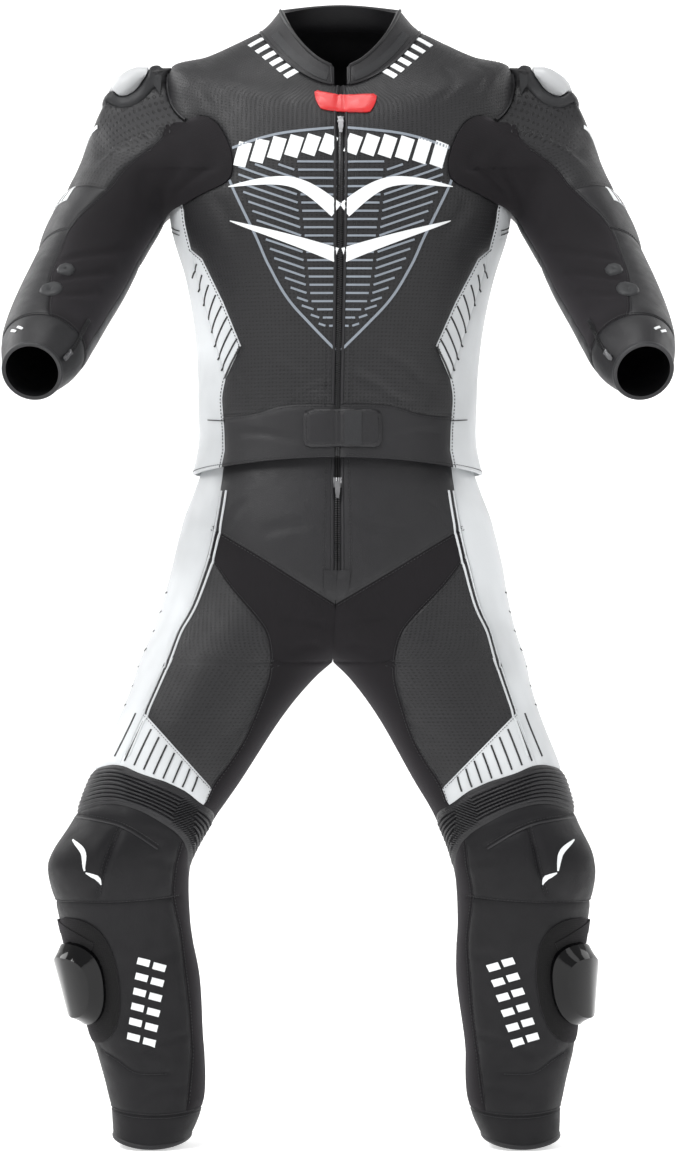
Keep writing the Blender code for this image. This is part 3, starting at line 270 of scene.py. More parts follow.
class Tube:
    """A surface laid out flat: low and high are the corners of its layout, and facing is 1 or -1."""

    def __init__(self, point, low, high, facing=1):
        self.point = point
        self.low, self.high, self.facing = np.array(low), np.array(high), facing
        self.first_look = None

    def slopes(self, flat):
        """How a point moves for a step across and a step along the layout."""
        step = 1e-4
        low, high = self.low + step / 10, self.high - step / 10
        moves = []
        for way in ((step, 0), (0, step)):
            ahead, back = np.clip(flat + way, low, high), np.clip(flat - way, low, high)
            size = np.maximum(np.abs(ahead - back).sum(1, keepdims=True), 1e-9)
            moves.append((self.point(ahead) - self.point(back)) / size)
        return moves

    def normal(self, flat):
        across, up = self.slopes(flat)
        return self.facing * unit(np.cross(across, up))

    def seen(self, x, z, behind=False):
        """The flat place whose point the eye sees at (x, z), on the near side or, behind, on the far side."""
        if self.first_look is None:
            shares = np.linspace(0, 1, FIRST_GRID)
            grid = np.stack(np.meshgrid(shares, shares), axis=-1).reshape(-1, 2)
            flat = self.low + grid * (self.high - self.low)
            self.first_look = flat, self.point(flat), self.normal(flat)
        flat, points, normals = self.first_look
        shares = np.linspace(-0.5, 0.5, NEXT_GRID)
        grid = np.stack(np.meshgrid(shares, shares), axis=-1).reshape(-1, 2)
        size = NEXT_REACH * (self.high - self.low)
        for turn in range(LOOK_COUNT):
            if turn:
                flat = np.clip(centre + grid * size, self.low, self.high)
                points, normals = self.point(flat), self.normal(flat)
                size = size * NARROWING
            scale = EYE_DISTANCE / (EYE_DISTANCE + points[:, 1])
            miss = np.hypot(
                points[:, 0] * scale - x,
                EYE_HEIGHT + (points[:, 2] - EYE_HEIGHT) * scale - z,
            )
            score = miss + 10 * ((normals[:, 1] > TURNED_ENOUGH) != behind)
            if turn == 0:
                near = score < score.min() + NEAR_ENOUGH
                score = np.where(near, points[:, 1] * (-1 if behind else 1), 100 + score)
            centre = flat[np.argmin(score)]
        return centre

    def curve(self, points, straight=False, behind=False):
        """A line on the layout that follows a smooth line of the view, with a point about every CELL."""
        found = np.array([self.seen(x, z, behind) for x, z in smooth_line(points, straight)])
        keep = np.ones(len(found), bool)
        keep[1:-1] = np.linalg.norm(np.diff(found, axis=0)[:-1], axis=1) > CELL * 0.2
        return found[keep]


def smooth_line(corners, straight=False):
    """The corners joined by straight lines or by one smooth curve, with a point about every CELL."""
    rows = dict(enumerate(np.array(corners).T))
    lengths = np.linalg.norm(np.diff(np.array(corners), axis=0), axis=1)
    places = [0.0]
    for row, length in enumerate(lengths):
        count = max(1, round(length / CELL))
        places += [row + (i + 1) / count for i in range(count)]
    if straight:
        knots = np.arange(len(corners))
        return np.stack([np.interp(places, knots, rows[0]), np.interp(places, knots, rows[1])], axis=1)
    places = np.array(places)
    return np.stack([along(rows, 0, places), along(rows, 1, places)], axis=1)


def nearest_on(line, target):
    """The place on a line nearest to a target."""
    start, step = line[:-1], np.diff(line, axis=0)
    share = np.clip(((target - start) * step).sum(1) / np.maximum((step**2).sum(1), 1e-12), 0, 1)
    found = start + step * share[:, None]
    return found[np.argmin(np.linalg.norm(found - target, axis=1))]


def joined(line, start_on=None, end_on=None):
    """The line with its ends moved onto other lines, so that the seams meet."""
    line = line.copy()
    if start_on is not None:
        line[0] = nearest_on(start_on, line[0])
    if end_on is not None:
        line[-1] = nearest_on(end_on, line[-1])
    return line


def to_corner(line, target):
    """The corner of a line nearest to a target."""
    return line[np.argmin(np.linalg.norm(line - target, axis=1))]


def mirrored(line):
    return line * (-1, 1)


def side_keys(sides):
    """One number for each side of a triangle, whichever way round it is."""
    sides = np.sort(np.asarray(sides, np.int64).reshape(-1, 2), axis=1)
    return sides[:, 0] * 10_000_000 + sides[:, 1]


def sampled(line, step):
    """Points on a line, about this far apart."""
    lengths = row_lengths(line[:, 0], line[:, 1])
    places = np.linspace(0, lengths[-1], max(2, int(lengths[-1] / step) + 1))
    return np.stack([np.interp(places, lengths, line[:, axis]) for axis in (0, 1)], axis=1)


def tree_of(points):
    tree = KDTree(len(points))
    for number, point in enumerate(points):
        tree.insert((*point, 0), number)
    tree.balance()
    return tree


def distances(tree, flat):
    """How far each place is from the nearest of a tree's points."""
    return np.array([tree.find((x, y, 0))[2] for x, y in flat.tolist()])


def beside(line, offset):
    """The line moved sideways on the layout."""
    run = np.gradient(line, axis=0)
    run /= np.maximum(np.linalg.norm(run, axis=1, keepdims=True), 1e-12)
    return line + np.stack([-run[:, 1], run[:, 0]], axis=1) * offset


class Layout:
    """A tube's layout cut along its seams, and along the outlines of what lies on it, into triangles."""

    def __init__(self, tube, edges_only, seams, outlines=(), wraps=None, normals=None, grooves=(), rows=None):
        self.tube = tube
        lines = [(line, -1) for line in [*edges_only, *grooves]] + [(line, 0) for line in seams]
        lines += [(line, number + 1) for number, line in enumerate(outlines)]
        points, edges, kinds = [], [], []
        for line, kind in lines:
            first = len(points)
            points += line.tolist()
            edges += [(first + i, first + i + 1) for i in range(len(line) - 1)]
            kinds += [kind] * (len(line) - 1)
        pressed = [*seams, *grooves]
        self.tree = tree_of(np.concatenate([sampled(line, LINE_STEP) for line in pressed]))
        every = tree_of(np.concatenate([sampled(line, 0.002) for line, _ in lines]))
        rails = np.concatenate([beside(line, way * SEAM_RAIL) for line in pressed for way in (1, -1)])
        margin = 0.5 * SEAM_RAIL
        rails = rails[np.all((rails > tube.low + margin) & (rails < tube.high - margin), axis=1)]
        rails = rails[distances(every, rails) > 0.8 * SEAM_RAIL]
        points = np.concatenate([points, rails, self.filling(every, rows)])
        points = np.clip(points, tube.low, tube.high)
        flat, sides, faces, _, origins, _ = delaunay_2d_cdt(points.tolist(), edges, [], 0, 1e-5)
        self.flat = np.array([tuple(p) for p in flat])
        faces = np.array(faces)
        corners = self.flat[faces]
        low, high = np.abs(corners - tube.low) < 1e-6, np.abs(corners - tube.high) < 1e-6
        self.faces = faces[~(low.all(1) | high.all(1)).any(1)]
        borders = [[] for _ in range(len(outlines) + 1)]
        for side, origin in zip(sides, origins):
            for kind in {kinds[i] for i in origin} - {-1}:
                borders[kind].append(side)
        self.xyz, self.normals = tube.point(self.flat), tube.normal(self.flat)
        same = np.arange(len(self.flat))
        if wraps is not None:
            self.wrap(wraps, same)
        self.borders = [side_keys(same[np.array(border)]) for border in borders]
        self.labels = {}
        if normals is not None:
            self.normals = normals(self)

    def filling(self, tree, rows):
        """A triangular grid of points clear of the lines. A ribbed panel has rows of its own."""
        low, high = self.tube.low, self.tube.high
        j, i = np.meshgrid(
            np.arange(1, int((high[1] - low[1]) / (0.87 * CELL)) + 1),
            np.arange(int((high[0] - low[0]) / CELL) + 1),
            indexing="ij",
        )
        points = np.stack([low[0] + (i + 0.5 * (j % 2)) * CELL, low[1] + j * 0.87 * CELL], axis=-1)
        points = points.reshape(-1, 2)
        points = points[np.all((points > low + 0.4 * CELL) & (points < high - 0.4 * CELL), axis=1)]
        points = points[distances(tree, points) > 0.55 * CELL]
        if rows is None:
            return points
        inside, extra = rows
        extra = extra[distances(tree, extra) > 0.3 * SEAM_RAIL]
        return np.concatenate([points[~inside(points)], extra])

    def wrap(self, closed, same):
        """Makes one point of each pair where the tube closes on itself."""
        left = np.flatnonzero(np.abs(self.flat[:, 0] - self.tube.low[0]) < 1e-6)
        right = np.flatnonzero(np.abs(self.flat[:, 0] - self.tube.high[0]) < 1e-6)
        for a in left:
            b = right[np.argmin(np.abs(self.flat[right, 1] - self.flat[a, 1]))]
            if closed(self.flat[a, 1]):
                same[b] = a
                self.normals[a] = unit((self.normals[a] + self.normals[b])[None])[0]
        self.faces = same[self.faces]

    def label(self, kind):
        """A number for each triangle, the same for all that no line of this kind parts."""
        if kind not in self.labels:
            faces = self.faces
            keys = side_keys(np.concatenate([faces[:, [0, 1]], faces[:, [1, 2]], faces[:, [2, 0]]]))
            owner = np.tile(np.arange(len(faces)), 3)
            order = np.argsort(keys, kind="stable")
            keys, owner = keys[order], owner[order]
            open_side = (keys[1:] == keys[:-1]) & ~np.isin(keys[1:], self.borders[kind])
            a, b = owner[:-1][open_side], owner[1:][open_side]
            label = np.arange(len(faces))
            while True:
                lowest = label.copy()
                nearer = np.minimum(label[a], label[b])
                np.minimum.at(lowest, a, nearer)
                np.minimum.at(lowest, b, nearer)
                np.minimum.at(lowest, label[a], nearer)
                np.minimum.at(lowest, label[b], nearer)
                lowest = lowest[lowest]
                if np.array_equal(lowest, label):
                    break
                label = lowest
            self.labels[kind] = label
        return self.labels[kind]

    def region(self, place, kind=0):
        """The triangles around a place, as far as the lines of this kind."""
        label = self.label(kind)
        middle = np.argmin(np.linalg.norm(self.flat[self.faces].mean(1) - place, axis=1))
        return self.faces[label == label[middle]]


def sheet(layout, faces, relief, top=0.0, bottom=-WALL, dome=None):
    """A closed sheet over a patch, as (points, faces, flat places): its outer skin follows the relief."""
    used, flat_faces = np.unique(faces, return_inverse=True)
    faces = flat_faces.reshape(-1, 3)
    count = len(used)
    sides = np.concatenate([faces[:, [0, 1]], faces[:, [1, 2]], faces[:, [2, 0]]])
    forward, backward = sides[:, 0] * count + sides[:, 1], sides[:, 1] * count + sides[:, 0]
    rim = sides[~np.isin(forward, backward)]
    points, normals = layout.xyz[used], layout.normals[used]
    inward = np.zeros_like(points)
    for end in (0, 1):
        here = rim[:, end]
        way = unit(np.cross(normals[here], points[rim[:, 1]] - points[rim[:, 0]])) * layout.tube.facing
        np.add.at(inward, here, way)
    points = points + inward * GAP / np.maximum((inward**2).sum(1, keepdims=True), 1.0)
    flat = layout.flat[used]
    on_rim = np.zeros(count, bool)
    on_rim[rim.ravel()] = True
    height = np.full(count, top) if dome is None else dome(flat, on_rim)
    height = height + relief(flat)
    outer = points + normals * height[:, None]
    inner = points + normals * np.minimum(bottom, height - 0.0004)[:, None]
    walls = np.concatenate([rim[:, [1, 0]], rim + count], axis=1)[:, :: layout.tube.facing]
    shell = [list(face) for face in faces[:, :: layout.tube.facing].tolist()]
    shell += [list(face) for face in (faces[:, :: -layout.tube.facing] + count).tolist()]
    return np.concatenate([outer, inner]), shell + walls.tolist(), np.concatenate([flat, flat])


def sway(points):
    """Points in the part's own frame: leaned, and measured from the neck."""
    shift = np.interp(points[:, 2], SWAY["z"], SWAY["shift"])
    return points + np.stack([shift, 0 * shift, 0 * shift - MOUNT_HEIGHT], axis=1)


# ---- the jacket's body ----

BODY_ROUND = 0.17
BODY_LENGTHS = row_lengths(BODY["side_z"], BODY["half_width"])


def body_point(flat):
    place = np.interp(flat[:, 1], BODY_LENGTHS, np.arange(len(BODY_LENGTHS)))
    return section(BODY, place, flat[:, 0] / BODY_ROUND, 0.0, along(BODY, "half_width", place))


body = Tube(body_point, (-math.pi * BODY_ROUND, 0.0), (math.pi * BODY_ROUND, BODY_LENGTHS[-1]))
NECK = BODY_LENGTHS[NECK_ROW]


def armhole_line():
    """The armhole's corners on the body's layout, closed by repeating rows at both ends of its turn."""
    rows = sorted(
        (((angle + 180) % 360) - 180, *body.seen(x, z, bool(behind)))
        for angle, x, z, behind in zip(*ARMHOLE.values())
    )
    before = [(angle - 360, u, v) for angle, u, v in rows[-3:]]
    after = [(angle + 360, u, v) for angle, u, v in rows[:3]]
    return table("angle u v", *before, *rows, *after)


ARMHOLE_FLAT = armhole_line()
TURN_STEP = 1.5
ARMHOLE_TURNS = np.radians(np.arange(-180, 180 + TURN_STEP, TURN_STEP))


def armhole(turn):
    """The armhole's places on the body's layout."""
    place = np.interp(np.degrees(turn), ARMHOLE_FLAT["angle"], np.arange(len(ARMHOLE_FLAT["angle"])))
    return np.stack([along(ARMHOLE_FLAT, "u", place), along(ARMHOLE_FLAT, "v", place)], axis=1)


def at_turn(line, degrees):
    """The corner of a line round the armhole at this turn."""
    return line[round((degrees + 180) / TURN_STEP)]


# ---- the sleeve ----

SLEEVE_ROUND = 0.40 / (2 * math.pi)
ARM_LENGTHS = row_lengths(ARM["x"], ARM["y"], ARM["z"])
SLEEVE_END = SLEEVE_HEAD + ARM_LENGTHS[-1]


def arm_ring(place, turn):
    """Points of the arm's rings, and the way the arm runs there."""
    middle = np.stack([along(ARM, axis, place) for axis in "xyz"], axis=1)
    low, high = np.clip(place - 0.3, 0, None), np.clip(place + 0.3, None, len(ARM_LENGTHS) - 1)
    runs = unit(np.stack([along(ARM, axis, high) - along(ARM, axis, low) for axis in "xyz"], axis=1))
    ahead = np.array([0.0, -1.0, 0.0])
    front = unit(ahead - runs * (runs @ ahead)[:, None])
    outward = np.cross(front, runs)
    ring = (
        middle
        + outward * (along(ARM, "across", place) * np.sin(turn))[:, None]
        + front * (along(ARM, "deep", place) * np.cos(turn))[:, None]
    )
    return ring, runs


def sleeve_head(turn, share):
    """The sleeve between the armhole and the first ring, leaving the body smoothly where it can."""
    flat = armhole(turn)
    start, facing = body.point(flat), body.normal(flat)
    step = body.point(armhole(turn + 0.02)) - body.point(armhole(turn - 0.02))
    into = unit(np.cross(step, facing))
    end, runs = arm_ring(np.zeros(len(turn)), turn)
    reach = np.linalg.norm(end - start, axis=1, keepdims=True)
    straight = (end - start) / reach
    keen = np.maximum((into * straight).sum(1, keepdims=True), 0)
    high = np.maximum(np.sin(turn), 0)[:, None] ** 1.5
    leave = unit((into * keen * 1.3 + straight * 0.35) * (1 - high) + SHOULDER_AIM * high)
    leave *= reach * (1 + SHOULDER_BULGE * high)
    arrive = runs * reach * (1 + 0.4 * SHOULDER_BULGE * high)
    t = share[:, None]
    return (
        start * (1 - 3 * t**2 + 2 * t**3)
        + leave * (t - 2 * t**2 + t**3)
        + end * (3 * t**2 - 2 * t**3)
        + arrive * (t**3 - t**2)
    )


def sleeve_point(flat):
    turn, share = flat[:, 0] / SLEEVE_ROUND, flat[:, 1] / SLEEVE_HEAD
    place = np.interp(flat[:, 1] - SLEEVE_HEAD, ARM_LENGTHS, np.arange(len(ARM_LENGTHS)))
    head = (share < 1)[:, None]
    return np.where(head, sleeve_head(turn, np.clip(share, 0, 1)), arm_ring(place, turn)[0])


sleeve = Tube(sleeve_point, (-math.pi * SLEEVE_ROUND, 0.0), (math.pi * SLEEVE_ROUND, SLEEVE_END), facing=-1)


def seam_normals(turn):
    """The way both the body and the sleeve face at the armhole."""
    on_sleeve = np.stack([turn * SLEEVE_ROUND, 0 * turn], axis=1)
    return unit(body.normal(armhole(turn)) + sleeve.normal(on_sleeve))


# ---- one half of the trousers ----

LEG_ROUND = 0.50
LEG_LENGTHS = row_lengths(LEG["side_z"], LEG["centre"], LEG["side_y"])


def leg_turn(place):
    """How far past the front the half starts: a quarter turn on a leg, and nothing at the hip."""
    share = np.clip(along(LEG, "centre", place) / along(LEG, "half_width", place), 0, 1)
    return np.arctan2(share, (1 - share**SQUARENESS) ** (1 / SQUARENESS))


def leg_point(flat):
    place = np.interp(flat[:, 1], LEG_LENGTHS, np.arange(len(LEG_LENGTHS)))
    turn = leg_turn(place)
    angle = -turn + (math.pi + 2 * turn) * flat[:, 0] / LEG_ROUND
    centre = np.maximum(along(LEG, "centre", place), 0)
    return section(LEG, place, angle, centre, along(LEG, "half_width", place)) + (GAP / 2, 0, 0)


leg = Tube(leg_point, (0.0, 0.0), (LEG_ROUND, LEG_LENGTHS[-1]))


def leg_flat(angle, along_leg):
    """The flat places at an angle round the leg, 0 ahead and a half turn behind."""
    place = np.interp(along_leg, LEG_LENGTHS, np.arange(len(LEG_LENGTHS)))
    turn = leg_turn(place)
    return np.stack([(angle + turn) / (math.pi + 2 * turn) * LEG_ROUND, along_leg], axis=1)


def rounded(corners, radius):
    """A closed outline whose corners are cut by three points of an arc."""
    corners = np.array(corners)
    outline = []
    for before, corner, after in zip(np.roll(corners, 1, 0), corners, np.roll(corners, -1, 0)):
        arms = [corner + (end - corner) / np.linalg.norm(end - corner) * radius for end in (before, after)]
        outline += [arms[0], 0.5 * corner + 0.25 * (arms[0] + arms[1]), arms[1]]
    return outline + [outline[0]]


def closed_curve(tube, corners, radius):
    """A rounded outline on a tube's layout, its corners given as the eye sees them."""
    return smooth_line([tube.seen(x, z) for x, z in rounded(corners, radius)], straight=True)


def oval(centre, half_across, half_along, count=12, squareness=2.6, lean=0.0):
    """A closed rounded outline round a flat place."""
    turn = np.linspace(0, 2 * math.pi, count + 1)
    reach = (np.abs(np.sin(turn)) ** squareness + np.abs(np.cos(turn)) ** squareness) ** (-1 / squareness)
    across, up = half_across * reach * np.sin(turn), half_along * reach * np.cos(turn)
    return np.stack([centre[0] + across + lean * up, centre[1] + up], axis=1)


# ---- relief: seam grooves, padding, creases and ribs ----

GROOVE_DEPTH, GROOVE_REACH = 0.0013, 0.0022
PADDING, PADDING_REACH = 0.0009, 0.010


class Relief:
    """The height of a tube's leather above its plain surface, at any flat place."""

    def __init__(self, tree, creases=(), more=None):
        self.tree, self.creases, self.more = tree, creases, more

    def __call__(self, flat):
        away = distances(self.tree, flat)
        height = PADDING * (1 - np.exp(-((away / PADDING_REACH) ** 2)))
        height = height - GROOVE_DEPTH * np.exp(-((away / GROOVE_REACH) ** 2))
        soft = 1 - np.exp(-((away / 0.006) ** 2))
        for start, end, depth, width in self.creases:
            height = height + soft * crease(flat, start, end, depth, width)
        return height if self.more is None else height + soft * self.more(flat)


def crease(flat, start, end, depth, width):
    """A soft trough between two flat places, bowed a little, with a low ridge on both sides."""
    run = end - start
    length = max(float(np.linalg.norm(run)), 1e-6)
    run = run / length
    offset = flat - start
    share = offset @ run / length
    bow = 0.06 * length * np.sin(math.pi * np.clip(share, 0, 1))
    aside = (offset @ np.array([-run[1], run[0]]) - bow) / width
    taper = np.clip(np.minimum(share, 1 - share) * 4 + 0.3, 0, 1)
    taper = taper * taper * (3 - 2 * taper)
    return -depth * taper * (1 - 1.1 * aside**2) * np.exp(-(aside**2))


def seen_creases(tube, rows, side=1):
    """Creases given as the eye sees them, for the half of the tube on this side or on both."""
    found = []
    for x1, z1, x2, z2, depth, width in zip(*rows.values()):
        start, end = tube.seen(x1, z1), tube.seen(x2, z2)
        found.append((start * (side, 1), end * (side, 1), depth, width))
    return found


def turned_creases(rows, roundness):
    """Creases given by their angle round the tube, in degrees, and their depth along it."""
    return [
        (np.array([math.radians(a) * roundness, b]), np.array([math.radians(c) * roundness, d]), depth, width)
        for a, b, c, d, depth, width in zip(*rows.values())
    ]


def bump(flat, centre, across, up, height):
    """A soft round swelling."""
    reach = ((flat - centre) / (across, up)) ** 2
    return height * np.exp(-reach.sum(1) ** 1.5)


# ---- what lies on the relief ----


class Skin:
    """A tube with its relief: places on it become points in the part's frame, mirrored for side -1."""

    def __init__(self, tube, relief):
        self.tube, self.relief = tube, relief

    def at(self, flat, lift, side=1):
        """Points lifted off the skin."""
        points = self.tube.point(flat) + self.tube.normal(flat) * (self.relief(flat) + lift)[:, None]
        return sway(points * (side, 1, 1))

    def sideways(self, flat, run):
        """The flat step that moves a point one metre sideways of a line that runs this way on the layout."""
        across, up = self.tube.slopes(flat)
        along_line = unit(across * run[:, :1] + up * run[:, 1:])
        way = np.cross(self.tube.normal(flat), along_line)
        basis = np.stack([across, up], axis=2)
        square = np.einsum("nij,nik->njk", basis, basis) + 1e-9 * np.eye(2)
        aim = np.einsum("nij,ni->nj", basis, way)
        return np.linalg.solve(square, aim[..., None])[..., 0]


def slab(over, under, closed=False):
    """A closed solid between two grids of points, rows by columns, closed on itself along the rows or not."""
    rows, columns = over.shape[:2]
    points = np.concatenate([over.reshape(-1, 3), under.reshape(-1, 3)])
    below = rows * columns
    i, j = np.meshgrid(np.arange(rows if closed else rows - 1), np.arange(columns - 1), indexing="ij")
    a = (i * columns + j).ravel()
    b = ((i + 1) % rows * columns + j).ravel()
    top = np.stack([a, a + 1, b + 1, b], axis=1)
    faces = [top, top[:, ::-1] + below]
    i = np.arange(rows if closed else rows - 1)
    for j, way in ((0, 1), (columns - 1, -1)):
        a, b = i * columns + j, (i + 1) % rows * columns + j
        faces.append(np.stack([a, b, b + below, a + below], axis=1)[:, ::way])
    if not closed:
        j = np.arange(columns - 1)
        for i, way in ((0, -1), (rows - 1, 1)):
            a = i * columns + j
            faces.append(np.stack([a, a + 1, a + 1 + below, a + below], axis=1)[:, ::way])
    return points, np.concatenate(faces)


class Trim:
    """Many thin things on the skins, gathered into one mesh."""

    def __init__(self):
        self.points, self.faces, self.flats, self.count = [], [], [], 0

    def add(self, points, faces, flat, side=1):
        self.points.append(points)
        self.faces += (np.asarray(faces)[:, ::side] + self.count).tolist()
        self.flats.append(flat)
        self.count += len(points)

    def ribbon(self, skin, line, width, lift=0.0003, thick=0.0006, columns=3, round_top=False, side=1,
               closed=False, step=0.004, offset=0.0, taper=None):
        """A strip along a line of flat places. Its top is lift + thick over the skin, its foot under it."""
        line = sampled(np.asarray(line, float), step)
        if closed:
            line = line[:-1]
            run = np.roll(line, -1, 0) - np.roll(line, 1, 0)
        else:
            run = np.gradient(line, axis=0)
        aside = skin.sideways(line, run)
        across = np.linspace(-0.5, 0.5, columns)
        profile = np.sqrt(np.maximum(1 - (2 * across) ** 2, 0)) if round_top else np.ones(columns)
        widths = np.full(len(line), width) if taper is None else width * taper(np.linspace(0, 1, len(line)))
        places = line[:, None] + aside[:, None] * (across[None, :, None] * widths[:, None, None] + offset)
        low, high = skin.tube.low + 1e-5, skin.tube.high - 1e-5
        flat = np.clip(places, low, high).reshape(-1, 2)
        heights = np.tile(lift + thick * profile, len(line))
        over = skin.at(flat, heights, side).reshape(len(line), columns, 3)
        under = skin.at(flat, heights * 0 - 0.0005, side).reshape(len(line), columns, 3)
        points, faces = slab(over, under, closed)
        self.add(points, faces[:, ::-1], np.concatenate([flat, flat]), side)

    def dashes(self, skin, line, offset=0.0, side=1, length=0.0026, pitch=0.0041, width=0.0007, high=0.0006):
        """A row of stitches beside a line."""
        line = sampled(np.asarray(line, float), pitch)
        if len(line) < 2:
            return
        run = np.gradient(line, axis=0)
        aside = skin.sideways(line, run)
        across, up = skin.tube.slopes(line)
        speed = np.linalg.norm(across * run[:, :1] + up * run[:, 1:], axis=1)
        ahead = run / np.maximum(speed, 1e-9)[:, None]
        corners = []
        for share, way in ((-0.5, -0.5), (-0.5, 0.5), (0.5, 0.5), (0.5, -0.5)):
            corners.append(line + ahead * share * length + aside * (offset + way * width))
        flat = np.clip(np.stack(corners, axis=1), skin.tube.low + 1e-5, skin.tube.high - 1e-5).reshape(-1, 2)
        base = skin.at(flat, np.full(len(flat), -0.0004), side).reshape(-1, 4, 3)
        top = skin.at(flat, np.full(len(flat), high), side).reshape(-1, 4, 3)
        middle = top.mean(1, keepdims=True)
        top = middle + (top - middle) * 0.75
        points = np.concatenate([base, top], axis=1).reshape(-1, 3)
        box = np.array([(3, 2, 1, 0), (4, 5, 6, 7), (0, 1, 5, 4), (1, 2, 6, 5), (2, 3, 7, 6), (3, 0, 4, 7)])
        faces = (box[None] + 8 * np.arange(len(line))[:, None, None]).reshape(-1, 4)
        self.add(points, faces[:, ::-1], np.repeat(flat.reshape(-1, 4, 2), 2, 0).reshape(-1, 2), side)


# ---- materials ----


class Look:
    """A material's nodes, with short ways to add to them."""

    def __init__(self, name, color, roughness, metallic=0.0, specular=0.5):
        self.material = bpy.data.materials.new(name)
        self.material.use_nodes = True
        self.tree = self.material.node_tree
        self.shader = self.tree.nodes["Principled BSDF"]
        self.color, self.roughness = color, roughness
        self.shader.inputs["Base Color"].default_value = (*color, 1)
        self.shader.inputs["Roughness"].default_value = roughness
        self.shader.inputs["Metallic"].default_value = metallic
        self.shader.inputs["Specular IOR Level"].default_value = specular
        self.bumped, self.tint = None, None

    def node(self, kind, links=None, **values):
        made = self.tree.nodes.new(kind)
        for name, value in values.items():
            if hasattr(made, name):
                setattr(made, name, value)
            else:
                made.inputs[name.replace("_", " ").title()].default_value = value
        for socket, source in (links or {}).items():
            self.tree.links.new(source, made.inputs[socket])
        return made

    def solid_place(self):
        return self.node("ShaderNodeTexCoord").outputs["Object"]

    def cloth_place(self):
        return self.node("ShaderNodeUVMap", uv_map="cloth").outputs["UV"]

    def mapped(self, value, low, high, to_low, to_high):
        made = self.node("ShaderNodeMapRange", {0: value})
        for number, setting in enumerate((low, high, to_low, to_high), 1):
            made.inputs[number].default_value = setting
        return made.outputs["Result"]

    def noise(self, place, scale, detail=3.0):
        return self.node("ShaderNodeTexNoise", {"Vector": place}, scale=scale, detail=detail).outputs["Fac"]

    def cells(self, place, scale, feature="DISTANCE_TO_EDGE", randomness=1.0, flat=False):
        made = self.node("ShaderNodeTexVoronoi", voronoi_dimensions="2D" if flat else "3D", feature=feature)
        made.inputs["Scale"].default_value = scale
        made.inputs["Randomness"].default_value = randomness
        self.tree.links.new(place, made.inputs["Vector"])
        return made.outputs["Distance"]

    def bump(self, height, strength, distance):
        made = self.node("ShaderNodeBump", {"Height": height}, strength=strength, distance=distance)
        if self.bumped is not None:
            self.tree.links.new(self.bumped, made.inputs["Normal"])
        self.bumped = made.outputs["Normal"]
        self.tree.links.new(self.bumped, self.shader.inputs["Normal"])

    def shade(self, value, factor):
        """Mixes the colour towards the same colour times factor, by a value from 0 to 1."""
        mix = self.node("ShaderNodeMix", data_type="RGBA")
        self.tree.links.new(value, mix.inputs["Factor"])
        if self.tint is None:
            mix.inputs[6].default_value = (*self.color, 1)
        else:
            self.tree.links.new(self.tint, mix.inputs[6])
        mix.inputs[7].default_value = (*[c * factor for c in self.color], 1)
        self.tint = mix.outputs[2]
        self.tree.links.new(self.tint, self.shader.inputs["Base Color"])

    def roughen(self, value, spread):
        rough = self.mapped(value, 0.3, 0.7, self.roughness - spread, self.roughness + spread)
        self.tree.links.new(rough, self.shader.inputs["Roughness"])


def leather(name, color, roughness, holes=False, grain=0.30, specular=0.5):
    look = Look(name, color, roughness, specular=specular)
    place = look.solid_place()
    look.shade(look.mapped(look.noise(place, 7.0), 0.35, 0.7, 0.0, 1.0), 0.72)
    look.roughen(look.noise(place, 55.0), 0.07)
    look.bump(look.noise(place, 130.0, 4.0), 0.35, 0.0006)
    look.bump(look.mapped(look.cells(place, 620.0), 0.0, 0.25, 0.0, 1.0), grain, 0.0003)
    if holes:
        dots = look.cells(look.cloth_place(), 1 / 0.0046, "F1", 0.0, True)
        dots = look.mapped(dots, 0.20, 0.27, 0.0, 1.0)
        look.shade(look.mapped(dots, 0.0, 1.0, 1.0, 0.0), 0.25)
        look.bump(dots, 0.8, 0.0008)
    return look.material


def woven(name, color, roughness, pitch, sheen):
    look = Look(name, color, roughness, specular=0.25)
    look.shader.inputs["Sheen Weight"].default_value = sheen
    look.shader.inputs["Sheen Roughness"].default_value = 0.5
    look.shader.inputs["Sheen Tint"].default_value = (0.75, 0.68, 0.78, 1)
    place = look.cloth_place()
    threads = [
        look.node("ShaderNodeTexWave", {"Vector": place}, bands_direction=way, scale=1 / (6.28 * pitch) * 2)
        for way in ("X", "Y")
    ]
    both = look.node("ShaderNodeMath", {0: threads[0].outputs["Fac"], 1: threads[1].outputs["Fac"]})
    look.shade(look.mapped(look.noise(look.solid_place(), 9.0), 0.35, 0.7, 0.0, 1.0), 0.7)
    look.bump(look.noise(look.solid_place(), 90.0), 0.25, 0.0008)
    look.bump(both.outputs[0], 0.35, 0.0003)
    return look.material


def moulded(name, color, roughness, coat=0.0, specular=0.5, metallic=0.0):
    look = Look(name, color, roughness, metallic, specular)
    look.shader.inputs["Coat Weight"].default_value = coat
    look.shader.inputs["Coat Roughness"].default_value = 0.04
    place = look.solid_place()
    look.roughen(look.noise(place, 70.0), roughness * 0.3)
    look.shade(look.noise(place, 25.0), 0.8)
    look.bump(look.noise(place, 400.0), 0.06, 0.0003)
    return look.material


